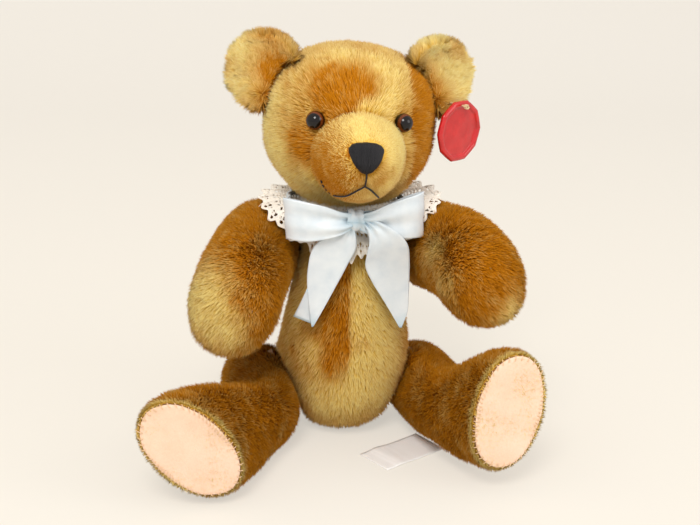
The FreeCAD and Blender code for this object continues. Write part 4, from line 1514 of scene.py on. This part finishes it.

# %% [markdown]
# The bow is one 24 mm satin ribbon: a band round the neck, two loops, a knot and two tails. Every
# piece is a strip laid out as a row of cross lines from one edge to the other, through which
# smooth curves run. Pleats gather the strip towards the knot. The satin finish is made of fine ribs
# along the ribbon, smooth and slightly sheeny, with painted shade at both ends of a strip: it is
# drawn bluer and darker there, where its folds are deep.

# %% Satin
def satin_finish():
    material, tree, shader = finish_called("pale_blue_satin", Roughness=0.28)
    shader.inputs["Sheen Weight"].default_value = 0.35
    shader.inputs["Sheen Roughness"].default_value = 0.3
    shader.inputs["Anisotropic"].default_value = 0.5
    shader.inputs["Specular IOR Level"].default_value = 0.6
    parts = add(tree, "ShaderNodeSeparateXYZ",
                {"Vector": add(tree, "ShaderNodeUVMap", uv_map="OFBake").outputs[0]}).outputs
    place = add(tree, "ShaderNodeTexCoord").outputs["Object"]
    rib = maths(tree, "SINE", maths(tree, "MULTIPLY", parts["X"], 300.0))
    patch = add(tree, "ShaderNodeTexNoise", {"Vector": place, "Scale": 130.0, "Detail": 3.0})
    cloudy = maths(tree, "MULTIPLY", patch.outputs["Fac"], 0.5)
    shade = maths(tree, "ADD", maths(tree, "MULTIPLY", rib, 0.03), cloudy)
    colour = ramp(tree, shade, (0.1, srgb(196, 208, 217)), (0.25, srgb(210, 219, 225)),
                  (0.4, srgb(219, 226, 230)))
    # painted shade: the satin is drawn bluer and darker at both ends of each strip, for the shade in
    # its deep folds there
    ends = maths(tree, "ABSOLUTE", maths(tree, "SUBTRACT", parts["Y"], 0.5))
    painted_fold_shade = ramp(tree, ends, (0.36, (0, 0, 0)), (0.46, (0.5, 0.5, 0.5)), (0.5, (1, 1, 1)))
    colour = mixed(tree, painted_fold_shade, colour, srgb(150, 186, 204))
    tree.links.new(colour, shader.inputs["Base Color"])
    bumped(tree, shader, maths(tree, "ADD", maths(tree, "MULTIPLY", rib, 0.3),
                               patch.outputs["Fac"]), 0.2, 0.0004)
    return material


SATIN = satin_finish()
print("finish", SATIN.name)

# %% A strip of satin
def strip(name, lines, steps, wide, thickness=0.00035, pleat=None):
    """A satin strip. lines is a list of (one edge, other edge) in mm along the ribbon.

    pleat(s, v) moves a point off the strip, in mm, for s and v from 0 to 1 along and across.
    """
    one = smooth_path([mm(*a) for a, _ in lines], steps)
    two = smooth_path([mm(*b) for _, b in lines], steps)
    v = np.linspace(0, 1, wide)
    grid = one[:, None] * (1 - v)[None, :, None] + two[:, None] * v[None, :, None]
    if pleat:
        along = np.gradient(grid, axis=0)
        across = np.gradient(grid, axis=1)
        off = unit(np.cross(along, across))
        s = np.linspace(0, 1, steps)
        grid = grid + off * (pleat(s[:, None], v[None, :]) / 1000)[..., None]
    faces, uv = [], []
    for i in range(steps - 1):
        for j in range(wide - 1):
            a = i * wide + j
            faces.append((a, a + wide, a + wide + 1, a + 1))
            for m, n in ((i, j), (i + 1, j), (i + 1, j + 1), (i, j + 1)):
                uv.append((0.02 + 0.96 * n / (wide - 1), 0.02 + 0.96 * m / (steps - 1)))
    mesh = with_map(grid.reshape(-1, 3), faces, uv)
    mesh.shade_smooth()
    obj = plain_object(name, mesh)
    area = sum(f.area for f in mesh.polygons)
    thick = obj.modifiers.new("thickness", "SOLIDIFY")
    thick.thickness = thickness
    thick.offset = 0
    obj.data = evaluated(obj)
    obj.data.materials.append(SATIN)
    return obj, area


def satin_piece(name, node, lines, steps, wide, flat, held, rests_on, with_pieces=(), **more):
    obj, area = strip(name, lines, steps, wide, **more)
    settle(obj, "torso", [node])
    print(name, "area", round(area * 1e4, 2), "of", round(flat[0] * flat[1] * 1e4, 2), "cm2")
    return obj

# %% [markdown]
# A loop goes out from the knot, folds over and comes home behind itself. Its pleats are deepest
# at the knot and die away from it.

# %% The loops
def gathers(many, deep, ends=(0.0, 1.0), reach=0.45):
    """Pleats that are deepest where the strip meets the knot and die away from it."""

    def pleat(s, v):
        near = sum(np.exp(-(((s - e) / reach) ** 2) * 2) for e in ends)
        return deep * near * np.sin(v * math.pi * 2 * many + 1.0 + 1.5 * s) * np.sin(v * math.pi)

    return pleat


# front ply out from the knot, round the fold, and the back ply home again
RIGHT_LOOP = [
    ((-4, -46, 144.5), (-4, -46, 135.5)),
    ((-10, -48.2, 146.0), (-10, -48.2, 133.0)),
    ((-20, -48.8, 149.5), (-19.6, -48.4, 130.5)),
    ((-32, -46.6, 151.6), (-30.4, -46.2, 128.8)),
    ((-39.6, -43.2, 152.4), (-37.4, -43.0, 129.0)),
    ((-41.4, -39.8, 152.0), (-39.2, -39.8, 128.6)),
    ((-37, -37.6, 150.8), (-35.4, -37.6, 127.8)),
    ((-24, -38.2, 147.6), (-23, -38.4, 129.6)),
    ((-12, -40.2, 143.4), (-12, -40.2, 132.8)),
    ((-4, -41.4, 142.4), (-4, -41.4, 135.0)),
]
LEFT_LOOP = [
    ((0.5, -46, 135.0), (0.5, -46, 144.0)),
    ((6, -48.2, 133.0), (6, -48.2, 146.2)),
    ((15, -48.6, 131.0), (14, -48.6, 150.0)),
    ((26, -46.0, 130.0), (24.4, -46.4, 153.0)),
    ((34.8, -42.2, 129.6), (33.2, -43.2, 155.0)),
    ((37.6, -38.6, 129.0), (36.2, -39.6, 155.4)),
    ((33, -37.2, 127.6), (32, -37.6, 153.8)),
    ((20, -38.2, 129.0), (19.4, -38.2, 149.0)),
    ((8, -40.2, 133.0), (8, -40.2, 144.0)),
    ((0.5, -41.4, 135.0), (0.5, -41.4, 142.6)),
]
for side, lines in (("right", RIGHT_LOOP), ("left", LEFT_LOOP)):
    loop = satin_piece("bow_" + side + "_loop_satin", "bow_" + side + "_loop", lines, 72, 26,
                       (0.024, 0.082), "folded", ["torso_plush"], pleat=gathers(1.5, 1.8))
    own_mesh(loop)

# %% [markdown]
# A tail is the same strip hung from the knot, wide at first and cut to a slant at its end, with a
# slow wave along it. The end of the right tail is turned back, so a small strip of its own lies
# behind it and goes with it.

# %% The tails
def tail_waves(turns, deep):
    def wave(s, v):
        soft = deep * np.sin(s * math.pi * turns + 2.2 * v) * (0.3 + 0.7 * s)
        top = 1.2 * np.exp(-((s / 0.16) ** 2)) * np.sin(v * math.pi * 5)
        return soft + top

    return wave


RIGHT_TAIL = [
    ((-7.0, -44.8, 138.8), (-3.0, -45.0, 137.2)),
    ((-16.5, -44.6, 132.8), (-1.4, -45.0, 131.8)),
    ((-24.6, -42.8, 124.0), (-0.8, -44.6, 126.0)),
    ((-27.0, -41.6, 112.0), (-5.4, -43.0, 113.5)),
    ((-27.0, -41.2, 100.0), (-11.6, -41.8, 100.0)),
    ((-25.6, -41.2, 89.0), (-17.0, -41.4, 89.0)),
    ((-24.0, -41.4, 77.4), (-23.0, -41.4, 77.3)),
]
TAIL_FOLD = [
    ((-27.0, -40.9, 100.0), (-26.4, -40.9, 98.6)),
    ((-30.4, -39.6, 91.0), (-25.4, -40.5, 89.0)),
    ((-34.0, -38.6, 82.5), (-24.0, -40.7, 78.8)),
]
LEFT_TAIL = [
    ((1.0, -46.5, 139.6), (4.0, -46.5, 141.6)),
    ((3.6, -49.4, 136.6), (11.5, -49.8, 140.4)),
    ((5.2, -49.8, 130.4), (20.0, -50.2, 135.2)),
    ((4.6, -47.6, 122.0), (27.0, -47.6, 127.5)),
    ((4.6, -44.4, 113.8), (29.6, -44.0, 117.0)),
    ((9.0, -42.6, 104.0), (30.4, -42.0, 106.0)),
    ((14.6, -41.8, 95.0), (30.6, -41.4, 96.0)),
    ((20.8, -41.4, 85.0), (30.4, -41.2, 85.5)),
    ((26.4, -41.2, 75.6), (27.4, -41.0, 75.8)),
]
tail_fold, _ = strip("bow_tail_fold", TAIL_FOLD, 12, 8)
settle(tail_fold, "torso", [])
satin_piece("bow_right_tail_satin", "bow_right_tail", RIGHT_TAIL, 54, 20, (0.018, 0.062), "hung",
            ["bow_knot_satin", "torso_plush"], with_pieces=[tail_fold], pleat=tail_waves(2.2, 0.5))
satin_piece("bow_left_tail_satin", "bow_left_tail", LEFT_TAIL, 54, 20, (0.021, 0.066), "hung",
            ["bow_knot_satin", "torso_plush"], pleat=tail_waves(1.8, 0.6))

# %% [markdown]
# The knot is one turn of folded ribbon round the middle of the bow, full at the front. The band
# is the rest of the ribbon, crumpled narrow round the neck, on top of the collar and under the
# chin.

# %% The knot and the band
def knot_lines():
    """The ribbon's one turn round the middle of the bow, seen from the side as a flat oval."""
    lines = []
    for k in range(13):
        a = 2 * math.pi * k / 12
        y, z = -43.6 - 5.0 * math.cos(a), 139.8 + 6.6 * math.sin(a)
        half = 4.2 + 0.8 * math.cos(a) - 0.4 * math.sin(2 * a)
        lines.append(((-2 - half, y + 0.5, z + 0.3), (-2 + half, y + 0.3, z - 0.3)))
    return lines


satin_piece("bow_knot_satin", "bow_knot", knot_lines(), 60, 22, (0.0115, 0.04), "folded",
            ["bow_right_loop_satin", "bow_left_loop_satin"],
            pleat=lambda s, v: 0.5 * np.sin(v * math.pi * 4 + 1.5 * np.sin(2 * math.pi * s))
            + 1.0 * np.sin(v * math.pi))


def band_lines():
    """The ribbon round the neck, crumpled to a narrow band under the chin."""
    lines = []
    for k in range(49):
        a = 2 * math.pi * k / 48
        x, y = -2 + 33 * math.sin(a), -8 - 33 * math.cos(a)
        sway = 0.3 * math.sin(5 * a)
        lines.append(((x, y, 140.4 + sway), (x, y, 144.2 + sway)))
    return lines


satin_piece("ribbon_band_satin", "ribbon_band", band_lines(), 160, 30, (0.012, 0.207), "folded",
            ["torso_plush"], pleat=lambda s, v: 1.1 * np.sin(v * math.pi * 6 + 3 * np.sin(s * 50)))

# %% [markdown]
# The label is a bare strip of white woven tape, sewn into the leg's lower seam and lying on the
# table, with the slight fold that sewn-in tape keeps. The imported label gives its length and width.

# %% Label
def label_lines():
    mesh = frame["nodes"]["side_label"].data
    p = corners(mesh)
    flat = p[:, :2]
    run = unit(np.array((-0.85, -0.53, 0)))
    across = unit(np.array((0.53, -0.85, 0)))
    reach = (flat @ run[:2]).min(), (flat @ run[:2]).max()
    sides = (flat @ across[:2]).min(), (flat @ across[:2]).max()
    lines = []
    for s in np.linspace(0, 1, 9):
        along = reach[0] + (reach[1] - reach[0]) * s
        lift = 0.9 * math.exp(-(((s - 0.72) / 0.12) ** 2)) + 0.5 * (1 - s) ** 4
        one = run * along + across * sides[0]
        two = run * along + across * sides[1]
        lines.append(((*one[:2] * 1000, 0.45 + lift), (*two[:2] * 1000, 0.45 + 0.6 * lift)))
    return lines


LABEL_TAPE = cloth_finish("white_label_tape", (246, 245, 243), (254, 254, 253), 900.0, 0.6,
                          sheen=0.1, height=0.1)
label, label_area = strip("side_label_tape", label_lines(), 60, 14, thickness=0.0003)
label.data.materials.clear()
label.data.materials.append(LABEL_TAPE)
settle(label, "left_leg", ["side_label"])
print("label", round(label_area * 1e4, 2), "cm2")

# %% [markdown]
# The seal is moulded in shiny red plastic: a ten-sided disc with rounded corners, a raised
# border and a slightly domed field left bare, with a short thread at the top that ties it to
# the ear.

# %% Shape of the seal
SEAL_TURN = math.radians(36)
SEAL_NORMAL = Vector((math.sin(SEAL_TURN), -math.cos(SEAL_TURN), 0))
SEAL_ACROSS = Vector((math.cos(SEAL_TURN), math.sin(SEAL_TURN), 0))
SEAL_EYE, SEAL_DROP, SEAL_RADIUS = mm(60.6, -11.5, 197.5), 14.6, 18.0


def seal_rim(a):
    """The distance from the middle to the edge of the ten-sided disc, with eased corners."""
    step = 2 * math.pi / 10
    off = (a - math.pi / 2 + step / 2) % step - step / 2
    flat = math.cos(step / 2) / math.cos(off)
    return SEAL_RADIUS * (0.75 * flat + 0.25 * (1 + math.cos(step / 2)) / 2)


def seal_mesh():
    steps = 120
    face = [(0, 0.75), (0.3, 0.68), (0.55, 0.5), (0.72, 0.25), (0.775, 0.2), (0.8, 0.3),
            (0.82, 1.2), (0.84, 1.5), (0.875, 1.65), (0.93, 1.55), (0.965, 1.25), (0.99, 0.8),
            (1.0, 0.3)]
    profile = face + [(r, -z) for r, z in reversed(face)]
    points, faces = [], []

    def place(r, a, z):
        reach = seal_rim(a) * r
        x, y = reach * math.cos(a), reach * math.sin(a) - SEAL_DROP
        z += 0.12 * math.sin(x * 0.5 + 1) * math.sin(y * 0.45) * (r < 0.7)
        return SEAL_EYE + (SEAL_ACROSS * x + Vector((0, 0, y)) + SEAL_NORMAL * z) / 1000

    for r, z in profile[1:-1]:
        points += [place(r, 2 * math.pi * k / steps, z) for k in range(steps)]
    first, last = len(points), len(points) + 1
    points += [place(0, 0, profile[0][1]), place(0, 0, profile[-1][1])]
    rows = len(profile) - 2
    for k in range(steps):
        j = (k + 1) % steps
        faces.append((first, k, j))
        for i in range(rows - 1):
            a, b = i * steps, (i + 1) * steps
            faces.append((a + k, b + k, b + j, a + j))
        a = (rows - 1) * steps
        faces.append((a + k, last, a + j))
    return facing_out(mesh_from("seal", points, faces))


print("seal", 2 * SEAL_RADIUS, "mm across its corners")

# %% The red plastic
def red_plastic_finish():
    material, tree, shader = finish_called("red_moulded_plastic", Roughness=0.22)
    shader.inputs["Coat Weight"].default_value = 0.3
    shader.inputs["Coat Roughness"].default_value = 0.08
    shader.inputs["Subsurface Weight"].default_value = 0.1
    shader.inputs["Subsurface Scale"].default_value = 0.002
    place = add(tree, "ShaderNodeTexCoord").outputs["Object"]
    cloud = add(tree, "ShaderNodeTexNoise", {"Vector": place, "Scale": 140.0, "Detail": 4.0})
    colour = ramp(tree, cloud.outputs["Fac"], (0.3, srgb(176, 12, 16)), (0.7, srgb(200, 24, 26)))
    tree.links.new(colour, shader.inputs["Base Color"])
    bumped(tree, shader, cloud.outputs["Fac"], 0.35, 0.0008)
    return material

# %% The seal and its thread
seal = plain_object("moulded_seal", seal_mesh())
seal.data.materials.append(red_plastic_finish())
settle(seal, "seal", ["ear_seal"])
SEAL_THREAD = thread_finish("seal_thread", (190, 150, 90), (232, 214, 176))
reach = [(-14, 0, 0), (-8, 0.3, 0.3), (-3, 0.9, 0.5), (0, 0.4, 0.4), (3.0, 0.5, 0.2), (4.6, 0, 0)]
strands = []
for sign in (-1, 1):
    strands.append(smooth_path([
        SEAL_EYE + (SEAL_NORMAL * n + SEAL_ACROSS * sign * a + Vector((0, 0, z))) / 1000
        for n, a, z in reach
    ], 18))
knot = []
for k in range(40):
    a = k / 39 * 6 * math.pi
    knot.append(SEAL_EYE + (SEAL_NORMAL * (3.4 + 0.05 * k) + SEAL_ACROSS * 1.0 * math.cos(a)
                            + Vector((0, 0, 1.0 * math.sin(a)))) / 1000)
strands.append(knot)
ties = threads("tag_thread_strands", strands, 0.0009, SEAL_THREAD, sides=8)
settle(ties, "head", ["tag_thread"])
print("seal", len(seal.data.polygons), "thread", len(ties.data.polygons))
